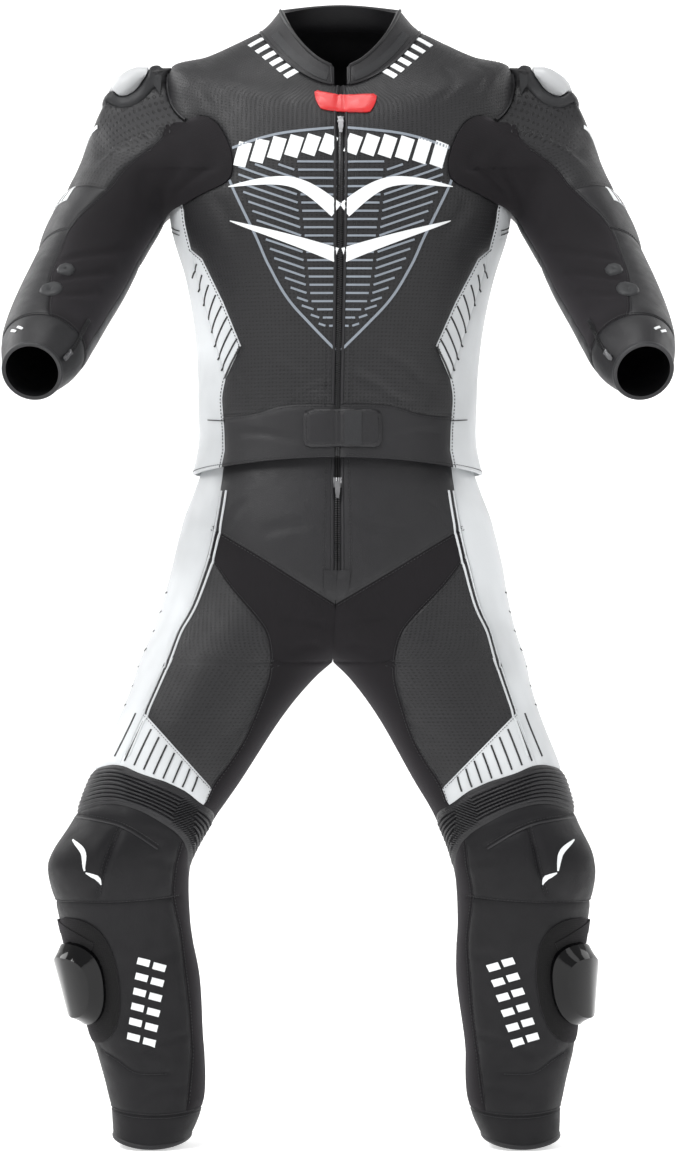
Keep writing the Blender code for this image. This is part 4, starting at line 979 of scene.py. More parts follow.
LOOKS = {
    "black": leather("black_leather", (0.0125, 0.0122, 0.0140), 0.48, specular=0.40),
    "perforated": leather("perforated_leather", (0.0140, 0.0138, 0.0155), 0.48, holes=True, specular=0.40),
    # A darker copy of the black leather for the knees, shins and ankle cuffs: painted shade, as less light
    # falls on the lower legs.
    "painted_shade_lower": leather("painted_shade_leather", (0.0085, 0.0082, 0.0095), 0.52, specular=0.20),
    "yoke": leather("yoke_leather", (0.019, 0.0195, 0.0215), 0.48, specular=0.40),
    "white": leather("white_leather", (0.62, 0.64, 0.655), 0.45, grain=0.15),
    "stretch": woven("stretch_cloth", (0.0080, 0.0068, 0.0082), 0.85, 0.0016, 0.06),
    "hook": woven("hook_tape", (0.006, 0.006, 0.006), 0.95, 0.0024, 0.08),
    "lobe": moulded("armour_rubber", (0.030, 0.031, 0.033), 0.55, specular=0.35),
    "cup": moulded("cup_plastic", (0.52, 0.53, 0.54), 0.40),
    "gloss": moulded("puck_plastic", (0.002, 0.002, 0.0024), 0.08, coat=0.0, specular=0.28),
    "red": moulded("label_rubber", (0.62, 0.025, 0.028), 0.38),
    "metal": moulded("zip_metal", (0.32, 0.32, 0.33), 0.32, metallic=1.0),
    "dark_metal": moulded("zip_teeth", (0.05, 0.05, 0.052), 0.35, metallic=0.6),
    "tape": woven("zip_tape", (0.010, 0.010, 0.010), 0.9, 0.0012, 0.1),
    "grey_print": moulded("grey_print", (0.24, 0.27, 0.31), 0.45),
    "white_print": moulded("white_print", (0.86, 0.88, 0.89), 0.38),
    "black_print": moulded("black_print", (0.012, 0.012, 0.013), 0.45),
    "thread": moulded("dark_thread", (0.022, 0.022, 0.024), 0.6),
    "lining": woven("dark_lining", (0.006, 0.006, 0.006), 0.95, 0.0030, 0.0),
}


# ---- pieces ----


def add_piece(name, points, faces, flat, look, replaces=None, body="suit", smooth=55):
    """One visible piece, riding on its body, with its flat places in metres as a UV map."""
    mesh = bpy.data.meshes.new(name)
    mesh.from_pydata(points.tolist(), [], faces)
    places = mesh.uv_layers.new(name="cloth")
    corners = np.empty(len(mesh.loops), np.int32)
    mesh.loops.foreach_get("vertex_index", corners)
    places.data.foreach_set("uv", np.asarray(flat)[corners].astype(np.float32).ravel())
    mesh.shade_smooth()
    mesh.set_sharp_from_angle(angle=math.radians(smooth))
    mesh.materials.append(LOOKS[look])
    made = bpy.data.objects.new(name, mesh)
    bpy.context.scene.collection.objects.link(made)
    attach(made, body)
    if replaces:
        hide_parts(replaces)
    return made


def add_trim(name, trim, look, body="suit"):
    points, flats = np.concatenate(trim.points), np.concatenate(trim.flats)
    return add_piece(name, points, trim.faces, flats, look, body=body)


# The least share of its rectangle that a sheet may fill, when the size of its cut is worked out.
LEAST_FILL = 0.32
# How far a row of stitches lies from its seam.
STITCH_ASIDE = 0.0022


def named(name, side):
    """The node's name on this side: 1 is the wearer's left, -1 the right, and 0 neither."""
    return name + {1: "_left", -1: "_right", 0: ""}[side]


def add_skin(name, made_sheet, look, side=0, kind="skin", smooth=55):
    """A sheet as a piece that replaces the node of its name."""
    points, faces, flat = made_sheet
    turn = -1 if side < 0 else 1
    node = named(name, side)
    faces = [face[::turn] for face in faces]
    return add_piece(f"{node}_{kind}", sway(points * (turn, 1, 1)), faces, flat, look, node, smooth=smooth)


def add_cloth(name, made_sheet, look, side=0):
    """A skin of cloth or leather. Its outer side's area and the width and length of its cut are worked out,
    and not used.
    """
    made = add_skin(name, made_sheet, look, side, "cloth")
    points, faces, flat = made_sheet
    outer = np.array([face for face in faces if len(face) == 3])
    outer = outer[(outer < len(points) // 2).all(1)]
    first, second = [points[outer[:, i]] - points[outer[:, 0]] for i in (1, 2)]
    (a, b), (c, d) = [(flat[outer[:, i]] - flat[outer[:, 0]]).T for i in (1, 2)]
    area = np.linalg.norm(np.cross(first, second), axis=1).sum() / 2
    laid = a * d - b * c
    laid = np.where(np.abs(laid) < 1e-12, np.nan, laid)[:, None]
    across = (first * d[:, None] - second * b[:, None]) / laid
    lengthways = (second * a[:, None] - first * c[:, None]) / laid
    stretch = [np.nanmedian(np.linalg.norm(way, axis=1)) for way in (across, lengthways)]
    width, length = (flat.max(0) - flat.min(0)) * stretch
    length = min(length, area / (LEAST_FILL * width))
    width = max(width, area / length)


# ---- the jacket ----

LABEL = ((-0.0330, 1.2700), (0.0450, 1.2660), (0.0360, 1.2440), (-0.0250, 1.2480))
TAB = ((-0.0410, 0.8890), (0.0530, 0.8890), (0.0530, 0.8430), (-0.0410, 0.8430))
LABEL_ROUND, TAB_ROUND = 0.005, 0.010
LABEL_THICK, TAB_THICK = 0.0030, 0.0040
COLLAR_THICK = 0.0016
ZIP_LIFT = -0.0003
PLACKET = 0.0132

BODY_CREASES = table(
    "x1 z1 x2 z2 depth width",
    (-0.0593, 0.8964, -0.0078, 0.9222, 0.0022, 0.0060),
    (-0.0720, 0.8890, -0.0084, 0.9010, 0.0018, 0.0045),
    (0.0180, 0.9318, 0.0852, 0.8868, 0.0022, 0.0065),
    (0.0200, 0.9010, 0.1000, 0.8940, 0.0014, 0.0050),
    (-0.0950, 0.9500, -0.0400, 0.9250, 0.0012, 0.0080),
    (0.0520, 0.9560, 0.1050, 0.9180, 0.0013, 0.0080),
    (-0.1250, 0.9300, -0.1050, 0.8900, 0.0013, 0.0070),
    (0.1150, 0.9250, 0.1060, 0.8880, 0.0014, 0.0070),
    (-0.1740, 1.2950, -0.1560, 1.2500, 0.0016, 0.0090),
    (-0.1380, 1.3000, -0.1300, 1.2400, 0.0010, 0.0080),
    (0.1650, 1.3000, 0.1450, 1.2450, 0.0015, 0.0085),
    (0.1210, 1.3020, 0.1090, 1.2550, 0.0010, 0.0080),
    (-0.1500, 1.1450, -0.1250, 1.0900, 0.0014, 0.0120),
    (0.1520, 1.1400, 0.1180, 1.0950, 0.0014, 0.0110),
    (-0.1200, 0.8600, -0.0500, 0.8500, 0.0010, 0.0060),
    (0.0600, 0.8520, 0.1250, 0.8600, 0.0010, 0.0060),
)
# The same kind of folds on the sides and the back: degrees round from the front, and metres up from the hem.
BODY_HIDDEN_CREASES = table(
    "turn1 up1 turn2 up2 depth width",
    (95, 0.080, 130, 0.110, 0.0022, 0.009),
    (100, 0.140, 150, 0.120, 0.0018, 0.010),
    (-92, 0.090, -128, 0.120, 0.0022, 0.009),
    (-105, 0.150, -146, 0.128, 0.0018, 0.010),
    (135, 0.070, 172, 0.085, 0.0020, 0.009),
    (-140, 0.072, -170, 0.090, 0.0019, 0.009),
    (150, 0.170, 175, 0.155, 0.0014, 0.012),
    (-150, 0.240, -172, 0.200, 0.0014, 0.014),
    (130, 0.340, 150, 0.260, 0.0016, 0.014),
    (-128, 0.345, -149, 0.262, 0.0017, 0.014),
)


def hull_line(corners, straight=True):
    return smooth_line([body.seen(x, z) for x, z in corners], straight)


def body_layout():
    """The body cut into panels, with the label and the waist tab outlined on it."""
    across = np.linspace(body.low[0], body.high[0], round((body.high[0] - body.low[0]) / CELL))
    rim = np.stack([across, np.full(len(across), body.high[1])], axis=1)
    hem = rim * (1, 0)
    round_neck = smooth_line([(body.low[0], NECK), (0, NECK), (body.high[0], NECK)], straight=True)
    behind = smooth_line([(body.high[0], 0), (body.high[0], NECK), tuple(body.high)], straight=True)
    hole = armhole(ARMHOLE_TURNS)
    zip_turn = body.seen(ZIP_HALF, 1.0)[0]
    zip_side = smooth_line([(zip_turn, 0.0), (zip_turn, NECK)], straight=True)
    collar_foot, collar_top = body.seen(COLLAR_GAP, 1.278), body.seen(COLLAR_GAP, 1.305)
    collar_end = smooth_line([(collar_foot[0], NECK), (collar_top[0], body.high[1])], straight=True)
    shoulder = smooth_line([at_turn(hole, 90), (SIDE * BODY_ROUND, NECK)])
    top = body.curve(FRONT_EDGE_TOP)
    top[0] = to_corner(hole, top[0])
    foot = body.curve(FRONT_EDGE_FOOT)
    foot = np.concatenate([foot, smooth_line([tuple(foot[-1]), (foot[-1, 0], 0.0)], straight=True)[1:]])
    inner, outer = body.curve(WEDGE_INNER, straight=True), body.curve(WEDGE_OUTER)
    outer[0], outer[-1] = inner[0], inner[-1]
    top[-1], foot[0] = inner[0], inner[-1]
    band = joined(body.curve(BAND_TOP), start_on=zip_side, end_on=foot)
    side_back = smooth_line([at_turn(hole, -135), (1.95 * BODY_ROUND, 0.20), (1.95 * BODY_ROUND, 0.0)])
    lines = {
        "zip": zip_side, "collar_end": collar_end, "hole": hole, "shoulder": shoulder, "top": top,
        "foot": foot, "inner": inner, "outer": outer, "band": band, "side_back": side_back,
    }
    seams = list(lines.values())
    seams += [mirrored(line) for line in seams]
    label = closed_curve(body, LABEL, LABEL_ROUND)
    tab = closed_curve(body, TAB, TAB_ROUND)
    edges = [rim, hem, behind, behind * (-1, 1)]
    made = Layout(body, edges, seams + [round_neck], (label, tab), lambda v: True, body_normals)
    return made, {**lines, "neck": round_neck, "label": label, "tab": tab, "rim": rim, "hem": hem}


def body_normals(layout):
    """The layout's normals, with those at the armholes shared with the sleeves."""
    normals = layout.normals
    shared = seam_normals(ARMHOLE_TURNS[:-1])
    for corner, normal in zip(armhole(ARMHOLE_TURNS[:-1]), shared):
        for side in (1, -1):
            at = np.argmin(np.linalg.norm(layout.flat - corner * (side, 1), axis=1))
            normals[at] = normal * (side, 1, 1)
    return normals


def plateau(tree, height, round_off):
    """A height for a raised piece: full inside it, and rolled down along its rim."""

    def dome(flat, on_rim):
        away = distances(tree, flat)
        share = np.clip(away / round_off, 0, 1)
        return GAP + height * (0.35 + 0.65 * np.sqrt(1 - (1 - share) ** 2)) * np.where(on_rim, 0.9, 1.0)

    return dome


def body_relief(layout):
    creases = seen_creases(body, BODY_CREASES) + turned_creases(BODY_HIDDEN_CREASES, BODY_ROUND)
    return Relief(layout.tree, creases)


def make_jacket(layout, lines, relief):
    def panel(name, place, look, **sizes):
        add_cloth(name, sheet(layout, layout.region(place), relief, **sizes), look)

    panel("jacket_back", (body.high[0] - 0.03, 0.30), "black")
    panel("collar", (body.high[0] - 0.03, NECK + 0.015), "black", top=COLLAR_THICK)
    for side in (1, -1):
        for kind, x, z, look in (
            ("front", 0.080, 1.150, "perforated"),
            ("stripe_panel", 0.155, 1.005, "white"),
            ("waistband", 0.080, 0.865, "black"),
        ):
            panel(named(f"jacket_{kind}", side), body.seen(x, z) * (side, 1), look)
        panel(named("jacket_side", side), (SIDE * BODY_ROUND * side, 0.20), "white")
    add_skin("main_zip", sheet(layout, layout.region((0.0, 0.30)), relief, top=ZIP_LIFT), "tape")
    label = layout.region(body.seen(0.006, 1.257), 1)
    tab = layout.region(body.seen(0.006, 0.866), 2)
    dome = plateau(tree_of(sampled(lines["label"], LINE_STEP)), LABEL_THICK, 0.002)
    add_skin("chest_label", sheet(layout, label, relief, bottom=-0.0003, dome=dome), "red")
    dome = plateau(tree_of(sampled(lines["tab"], LINE_STEP)), TAB_THICK, 0.003)
    add_cloth("waist_tab", sheet(layout, tab, relief, bottom=-0.0003, dome=dome), "black")


# ---- prints on the chest: a shield, its hatching, and a plain winged band ----

SHIELD_TOP = ((0.0060, 1.2270), (0.0700, 1.2200), (0.1300, 1.2024))
SHIELD_SIDE = ((0.1332, 1.1640), (0.1032, 1.1016), (0.0840, 1.0596), (0.0564, 1.0152), (0.0035, 0.9600))
SHIELD_LINE = 0.0030
HATCH_PITCH, HATCH_TOP, HATCH_LINE = 0.00984, 1.1860, 0.0024
HATCH_COLUMN = table("z half", (0.978, 0.006), (0.990, 0.012), (1.000, 0.020), (1.020, 0.034), (1.186, 0.052))
HATCH_SLOPE = math.tan(math.radians(19))
HATCH_GAP, HATCH_MARGIN, HATCH_CEILING = 0.0045, 0.0110, 1.1830
ZIP_CLEAR = 0.0045

BAND_BLOCKS, BAND_REACH, BAND_GAP = 6, 0.128, 0.0045
WINGS = table(
    "x1 z1 x2 z2 x3 z3 width",
    (0.0045, 1.1280, 0.0600, 1.1620, 0.1340, 1.1560, 0.0190),
    (0.0045, 1.0740, 0.0600, 1.0930, 0.1320, 1.1150, 0.0170),
)


def print_line(trim, corners, width, side, lift=0.0003, **more):
    trim.ribbon(BODY_SKIN, hull_line(corners, len(corners) < 3), width, lift, side=side, **more)


def make_chest_prints():
    lines, bright = Trim(), Trim()
    shield_z, shield_x = np.array(SHIELD_SIDE)[::-1, 1], np.array(SHIELD_SIDE)[::-1, 0]
    for side in (1, -1):
        print_line(lines, SHIELD_TOP, SHIELD_LINE, side)
        print_line(lines, SHIELD_SIDE, SHIELD_LINE, side)
        z = HATCH_TOP
        while z > HATCH_COLUMN["z"][0]:
            half = float(np.interp(z, HATCH_COLUMN["z"], HATCH_COLUMN["half"]))
            print_line(lines, ((ZIP_CLEAR, z), (half, z)), HATCH_LINE, side, step=0.008)
            start = half + HATCH_GAP
            end = start
            while end < 0.13:
                height = z + (end + 0.001 - start) * HATCH_SLOPE
                if height > HATCH_CEILING or end > np.interp(height, shield_z, shield_x) - HATCH_MARGIN:
                    break
                end += 0.001
            if end - start > 0.008:
                corners = ((start, z), (end, z + (end - start) * HATCH_SLOPE))
                print_line(lines, corners, HATCH_LINE, side, step=0.008)
            z -= HATCH_PITCH
        for block in range(BAND_BLOCKS):
            low, high = [ZIP_CLEAR + (BAND_REACH - ZIP_CLEAR) * n / BAND_BLOCKS for n in (block, block + 1)]
            middle = (low + high) / 2
            rise = 1.2070 - 0.9 * middle**2
            lean, tall = 0.0040 * side, 0.0100 + 0.035 * middle
            corners = ((middle - lean, rise - tall), (middle + lean, rise + tall))
            print_line(bright, corners, high - low - BAND_GAP, side, columns=5)
        for x1, z1, x2, z2, x3, z3, width in zip(*WINGS.values()):
            print_line(bright, ((x1, z1), (x2, z2), (x3, z3)), width, side, columns=7, lift=0.0006,
                       taper=lambda share: 0.05 + 0.95 * (1 - share) ** 0.8)
    add_trim("chest_lines", lines, "grey_print")
    add_trim("chest_motif", bright, "white_print")


# ---- neck bars, piping, stripes and the rest of the jacket's trim ----

NECK_BARS, NECK_BAR_LENGTH, NECK_BAR_WIDTH = 6, 0.021, 0.0074
NECK_BAR_FIRST, NECK_BAR_LAST = (0.1000, 1.3290), (0.0590, 1.2915)
NECK_BAR_RISE = math.radians(32)
WEDGE_LINES = table(
    "x_top z_top x_foot z_foot",
    (0.1716, 1.0632, 0.1764, 1.0464),
    (0.1648, 1.0500, 0.1692, 1.0296),
    (0.1568, 1.0380, 0.1632, 1.0128),
    (0.1484, 1.0260, 0.1572, 0.9960),
    (0.1412, 1.0128, 0.1530, 0.9804),
    (0.1342, 1.0000, 0.1490, 0.9636),
    (0.1284, 0.9864, 0.1445, 0.9480),
    (0.1222, 0.9732, 0.1400, 0.9350),
    (0.1184, 0.9640, 0.1362, 0.9260),
)


def make_jacket_trim(lines):
    neck_bars, wedge, piping, threads, straps = Trim(), Trim(), Trim(), Trim(), Trim()
    roll = {"columns": 7, "round_top": True}
    for side in (1, -1):
        for number in range(NECK_BARS):
            share = number / (NECK_BARS - 1)
            x, z = [a + (b - a) * share for a, b in zip(NECK_BAR_FIRST, NECK_BAR_LAST)]
            size = 1 - 0.18 * share
            reach_x = math.cos(NECK_BAR_RISE) * NECK_BAR_LENGTH * size / 2
            reach_z = math.sin(NECK_BAR_RISE) * NECK_BAR_LENGTH * size / 2
            corners = ((x + reach_x, z - reach_z), (x - reach_x, z + reach_z))
            print_line(neck_bars, corners, NECK_BAR_WIDTH, side)
        for x1, z1, x2, z2 in zip(*WEDGE_LINES.values()):
            print_line(wedge, ((x1, z1), (x2, z2)), 0.0017, side)
        print_line(wedge, ((0.1545, 0.8760), (0.1365, 0.8750)), 0.0010, side)
        for z in (1.1060, 1.1010):
            print_line(wedge, ((0.2060, z), (0.1920, z - 0.003)), 0.0007, side)
        hole = lines["hole"][round(225 / TURN_STEP): round(262 / TURN_STEP)]
        for offset in (-0.0042, 0.0030):
            piping.ribbon(BODY_SKIN, hole, 0.0040, 0.0, 0.0016, side=side, offset=offset, **roll)
        top_rim = lines["rim"][np.abs(lines["rim"][:, 0]) > lines["collar_end"][-1, 0] + 0.002]
        top_rim = top_rim[top_rim[:, 0] > 0] - (0, 0.0022)
        piping.ribbon(BODY_SKIN, top_rim, 0.0050, COLLAR_THICK - 0.0003, 0.0020, side=side, **roll)
        end = lines["collar_end"] + (0.0026, 0)
        piping.ribbon(BODY_SKIN, end[:-1], 0.0050, COLLAR_THICK - 0.0003, 0.0018, side=side, **roll)
        base = lines["neck"][lines["neck"][:, 0] > lines["collar_end"][0, 0]]
        piping.ribbon(BODY_SKIN, base, 0.0046, 0.0006, 0.0022, side=side, **roll)
        strip = base[(base[:, 0] > 0.030) & (base[:, 0] < 0.190)] + (0, 0.0140)
        straps.ribbon(BODY_SKIN, strip, 0.0130, COLLAR_THICK, 0.0008, side=side, columns=5)
        zip_line = lines["zip"][lines["zip"][:, 1] > lines["band"][0, 1]]
        fold = zip_line + (0.0022, 0)
        piping.ribbon(BODY_SKIN, fold, 0.0044, 0.0002, 0.0012, side=side, **roll)
        for offset in (PLACKET - 0.0018, PLACKET):
            threads.dashes(BODY_SKIN, zip_line + (offset, 0), side=side)
        for name, offset in (("band", 0.0022), ("band", -0.0022), ("foot", 0.0022), ("top", 0.0022),
                             ("shoulder", 0.0024), ("shoulder", -0.0024), ("side_back", 0.0024),
                             ("inner", 0.0020), ("neck", -0.0045)):
            line = lines[name]
            line = line[line[:, 0] > 0.004]
            threads.dashes(BODY_SKIN, line, offset, side)
        hem = lines["hem"][lines["hem"][:, 0] > 0.006]
        threads.dashes(BODY_SKIN, hem + (0, 0.006), 0.0, side)
    make_waist_tab_trim(lines, threads, straps)
    add_trim("neck_bars", neck_bars, "white_print")
    add_trim("side_lines", wedge, "black_print")
    add_trim("jacket_piping", piping, "black")
    add_trim("jacket_stitches", threads, "thread")
    add_trim("jacket_straps", straps, "yoke")


TAB_STRAP, TAB_STITCH_INSET = (0.0186, 0.0200), 0.0035


def make_waist_tab_trim(lines, threads, straps):
    middle = lines["tab"].mean(0)
    inset = middle + (lines["tab"] - middle) * (1 - TAB_STITCH_INSET / (np.ptp(lines["tab"], axis=0) / 2))
    threads.dashes(RAISED_TAB, inset)
    strap = hull_line(((TAB_STRAP[0], 0.8865), (TAB_STRAP[0], 0.8455)))
    straps.ribbon(RAISED_TAB, strap, TAB_STRAP[1], 0.0, 0.0010, columns=5)


# ---- the sleeves ----

SLEEVE_UNDER = math.radians(-78)
PATCH_TOP, PATCH_FOOT, PATCH_BACK = 0.128, 0.205, math.radians(150)
CUFF_DEPTH = 0.055
CUP_PLACE, CUP_SIZE, CUP_THICK = (math.radians(102), 0.026), (0.032, 0.0150), 0.009
CUP_RIM, CUP_RIM_THICK = 0.0150, 0.0042
CUFF_ZIP = ((0.3010, 0.9950), (0.3300, 0.9500))
CUFF_ZIP_HALF, CUFF_ZIP_THICK, CUFF_ZIP_END = 0.0035, 0.0016, 0.002
SLIDER_HALF = 0.0055

SLEEVE_CREASES = table(
    "x1 z1 x2 z2 depth width",
    (0.1680, 1.2080, 0.1980, 1.1480, 0.0032, 0.0100),
    (0.1980, 1.2060, 0.2160, 1.1300, 0.0024, 0.0110),
    (0.2300, 1.1800, 0.2420, 1.1150, 0.0016, 0.0120),
    (0.1500, 1.1980, 0.1650, 1.1750, 0.0016, 0.0080),
    (0.2520, 1.0850, 0.3360, 1.0650, 0.0018, 0.0080),
    (0.2700, 1.0550, 0.3400, 1.0420, 0.0022, 0.0075),
    (0.2850, 1.0300, 0.3350, 1.0240, 0.0016, 0.0070),
    (0.3000, 0.9900, 0.3400, 0.9800, 0.0012, 0.0070),
    (0.3020, 1.2350, 0.2820, 1.1950, 0.0010, 0.0110),
)
SLEEVE_HIDDEN_CREASES = table(
    "turn1 up1 turn2 up2 depth width",
    (170, 0.070, 120, 0.095, 0.0020, 0.011),
    (-150, 0.060, -110, 0.085, 0.0024, 0.010),
    (-160, 0.110, -115, 0.125, 0.0022, 0.009),
    (-150, 0.160, -100, 0.165, 0.0026, 0.009),
    (-155, 0.190, -105, 0.185, 0.0022, 0.009),
    (150, 0.250, 100, 0.260, 0.0014, 0.009),
)


def across_sleeve(turn_from, turn_to, place):
    """A line round the sleeve at one depth."""
    return smooth_line(
        [(turn_from * SLEEVE_ROUND, place), (turn_to * SLEEVE_ROUND, place)], straight=True
    )


def sleeve_layout():
    """The sleeve cut into panels, with the shoulder cup and the cuff's zip outlined on it."""
    cuff = SLEEVE_END - CUFF_DEPTH
    top = np.stack([ARMHOLE_TURNS * SLEEVE_ROUND, 0 * ARMHOLE_TURNS], axis=1)
    end = across_sleeve(-math.pi, math.pi, SLEEVE_END)
    back = smooth_line([(sleeve.high[0], 0.0), (sleeve.high[0], SLEEVE_END)], straight=True)
    cuff_top = across_sleeve(-math.pi, math.pi, cuff)
    front = smooth_line([at_turn(top, 45)] + [sleeve.seen(x, z) for x, z in SLEEVE_FRONT])
    front = front[front[:, 1] < cuff]
    front = np.concatenate([front, [(front[-1, 0], cuff)]])
    under = smooth_line(
        [at_turn(top, -75), (SLEEVE_UNDER * SLEEVE_ROUND, 0.04), (SLEEVE_UNDER * SLEEVE_ROUND, cuff)]
    )
    patch_turn = PATCH_BACK * SLEEVE_ROUND
    middle = (PATCH_TOP + PATCH_FOOT) / 2
    lines = {"front": front, "under": under, "cuff_top": cuff_top}
    for name, place in (("patch_top", PATCH_TOP), ("patch_foot", PATCH_FOOT)):
        on_front = front[np.argmin(np.abs(front[:, 1] - place))]
        lines[name] = smooth_line([on_front, (0.5 * (on_front[0] + patch_turn), place), (patch_turn, place)])
    lines["patch_back"] = smooth_line([(patch_turn, PATCH_TOP), (patch_turn, PATCH_FOOT)], straight=True)
    lines["elbow"] = across_sleeve(PATCH_BACK, math.pi, middle)
    lines["elbow_in"] = across_sleeve(-math.pi, SLEEVE_UNDER, middle)
    cup = oval((CUP_PLACE[0] * SLEEVE_ROUND, CUP_PLACE[1]), *CUP_SIZE, count=72)
    left, right = cuff_zip_sides()
    corners = [left[0], left[-1], right[-1], right[0], left[0]]
    strip = smooth_line(corners, straight=True)
    edges = [top, end, back, back * (-1, 1)]
    made = Layout(sleeve, edges, list(lines.values()), (cup, strip), lambda v: True, sleeve_normals)
    return made, {**lines, "cup": cup, "end": end, "strip": strip}


def cuff_zip_sides():
    """The two sides of the cuff's zip on the layout, from its upper end to its foot."""
    first, last = [sleeve.seen(x, z) for x, z in CUFF_ZIP]
    length = np.linalg.norm(last - first)
    run = (last - first) / length
    aside = np.array([run[1], -run[0]]) * CUFF_ZIP_HALF
    return [[first + run * place + aside * way for place in (0.0, length)] for way in (1, -1)]


def sleeve_normals(layout):
    normals = layout.normals
    at_top = np.flatnonzero(layout.flat[:, 1] < 1e-6)
    normals[at_top] = seam_normals(layout.flat[at_top, 0] / SLEEVE_ROUND)
    return normals


def sleeve_relief(layout):
    creases = seen_creases(sleeve, SLEEVE_CREASES) + turned_creases(SLEEVE_HIDDEN_CREASES, SLEEVE_ROUND)
    elbow = np.array([(math.radians(110)) * SLEEVE_ROUND, 0.168])
    return Relief(layout.tree, creases, lambda flat: bump(flat, elbow, 0.040, 0.036, 0.003))


LOBES = table(
    "x z across up",
    (0.3290, 1.0560, 0.0110, 0.0120),
    (0.3460, 1.0330, 0.0140, 0.0160),
)
LOBE_THICK = 0.0028


def make_sleeves(layout, lines, relief):
    places = (
        ("upper", (math.radians(100), 0.08), "perforated", 0.0),
        ("stretch", (math.radians(-30), 0.10), "stretch", 0.0),
        ("elbow_patch", (math.radians(100), 0.16), "black", 0.0),
        ("forearm", (math.radians(120), 0.26), "black", 0.0),
        ("cuff", (math.radians(90), SLEEVE_END - 0.02), "black", 0.0),
    )
    cup_tree = tree_of(sampled(lines["cup"], LINE_STEP))
    strip_tree = tree_of(sampled(lines["strip"], LINE_STEP))
    for side in (1, -1):
        for kind, (turn, depth), look, top in places:
            patch = layout.region((turn * SLEEVE_ROUND, depth))
            add_cloth(f"sleeve_{kind}", sheet(layout, patch, relief, top), look, side)
        cup = layout.region((CUP_PLACE[0] * SLEEVE_ROUND, CUP_PLACE[1]), 1)
        dome = plateau(cup_tree, CUP_THICK, 0.012)
        add_skin("shoulder_cup", sheet(layout, cup, relief, bottom=0.0003, dome=dome), "cup", side)
        left_side, right_side = cuff_zip_sides()
        strip = layout.region((left_side[0] + right_side[1]) / 2, 2)
        dome = plateau(strip_tree, CUFF_ZIP_THICK * 0.6, 0.001)
        add_skin("cuff_zip", sheet(layout, strip, relief, bottom=0.0003, dome=dome), "tape", side)


SLEEVE_STITCHES = (
    ("front", STITCH_ASIDE, -STITCH_ASIDE),
    ("under", STITCH_ASIDE),
    ("cuff_top", STITCH_ASIDE, -STITCH_ASIDE),
    ("patch_foot", STITCH_ASIDE),
    ("elbow_in", STITCH_ASIDE),
)


def make_sleeve_trim(lines):
    piping, threads, stripes, blocks, lobes, prints = Trim(), Trim(), Trim(), Trim(), Trim(), Trim()
    roll = {"columns": 7, "round_top": True}
    for side in (1, -1):
        piping.ribbon(SLEEVE_SKIN, lines["cup"], CUP_RIM, 0.0002, CUP_RIM_THICK, side=side, closed=True,
                      offset=-CUP_RIM / 2, **roll)
        for offset in (-0.0155, -0.0175):
            threads.dashes(SLEEVE_SKIN, lines["cup"], offset, side)
        for name, *offsets in SLEEVE_STITCHES:
            for offset in offsets:
                threads.dashes(SLEEVE_SKIN, lines[name], offset, side)
        rim = lines["end"] - (0, 0.0030)
        piping.ribbon(SLEEVE_SKIN, rim, 0.0060, 0.0, 0.0014, side=side, **roll)
        turns = np.radians(np.linspace(58, 148, 24)) * SLEEVE_ROUND
        band = np.stack([turns, np.full(len(turns), PATCH_TOP + 0.010)], axis=1)
        blocks.ribbon(SLEEVE_SKIN, band, 0.0220, 0.0003, 0.0006, side=side, columns=9)
        for turn in range(64, 146, 9):
            place = math.radians(turn) * SLEEVE_ROUND
            corners = ((place, PATCH_TOP + 0.001), (place + 0.004, PATCH_TOP + 0.019))
            stripes.ribbon(SLEEVE_SKIN, corners, 0.0018, 0.0008, 0.0005, side=side)
        for x, z, across, up in zip(*LOBES.values()):
            outline = oval(sleeve.seen(x, z), across * 0.5, up * 0.5, count=36)
            lobes.ribbon(SLEEVE_SKIN, outline, across * 1.05, 0.0002, LOBE_THICK, side=side, closed=True,
                         columns=9, round_top=True)
        for turn, up in ((112, 0.098), (104, 0.090), (96, 0.082)):
            start = (math.radians(turn) * SLEEVE_ROUND, up)
            end = (start[0] - 0.022, up - 0.016)
            prints.ribbon(SLEEVE_SKIN, (start, end), 0.0050, side=side)
        for turn in (40, 52):
            start = (math.radians(turn) * SLEEVE_ROUND, SLEEVE_END - 0.030)
            prints.ribbon(SLEEVE_SKIN, (start, (start[0] + 0.010, start[1] - 0.006)), 0.0030, side=side)
    add_trim("sleeve_piping", piping, "yoke")
    add_trim("sleeve_stitches", threads, "thread")
    add_trim("elbow_blocks", blocks, "white_print")
    add_trim("elbow_lines", stripes, "black_print")
    add_trim("elbow_lobes", lobes, "lobe")
    add_trim("sleeve_bars", prints, "white_print")


# ---- the trousers ----

TOP = LEG_LENGTHS[-1]
CROTCH = LEG_LENGTHS[CROTCH_ROW]
ANKLE = 0.036
LEG_STEPS, HIP_STEPS = 8, 60
KNEE_INSIDE, CALF_INSIDE = 11 * LEG_STEPS, 9 * LEG_STEPS
ACCORDION_TOP_BEHIND, ACCORDION_FOOT_BEHIND = 0.448, 0.395
FLY_TAB = ((0.0000, 0.6960), (0.0165, 0.6960), (0.0150, 0.6730), (0.0090, 0.6620), (0.0000, 0.6600))
FLY_TAB_THICK = 0.0018
BASE_PLACE, BASE_SIZE, BASE_THICK = (math.radians(56), 0.196), (0.058, 0.078), 0.0025
PUCK_PLACE, PUCK_SIZE, PUCK_THICK = (math.radians(56), 0.194), (0.041, 0.050), 0.019
STEP = 0.012
RIBS, RIB_HEIGHT, RIB_ROWS = 10, 0.0026, 4

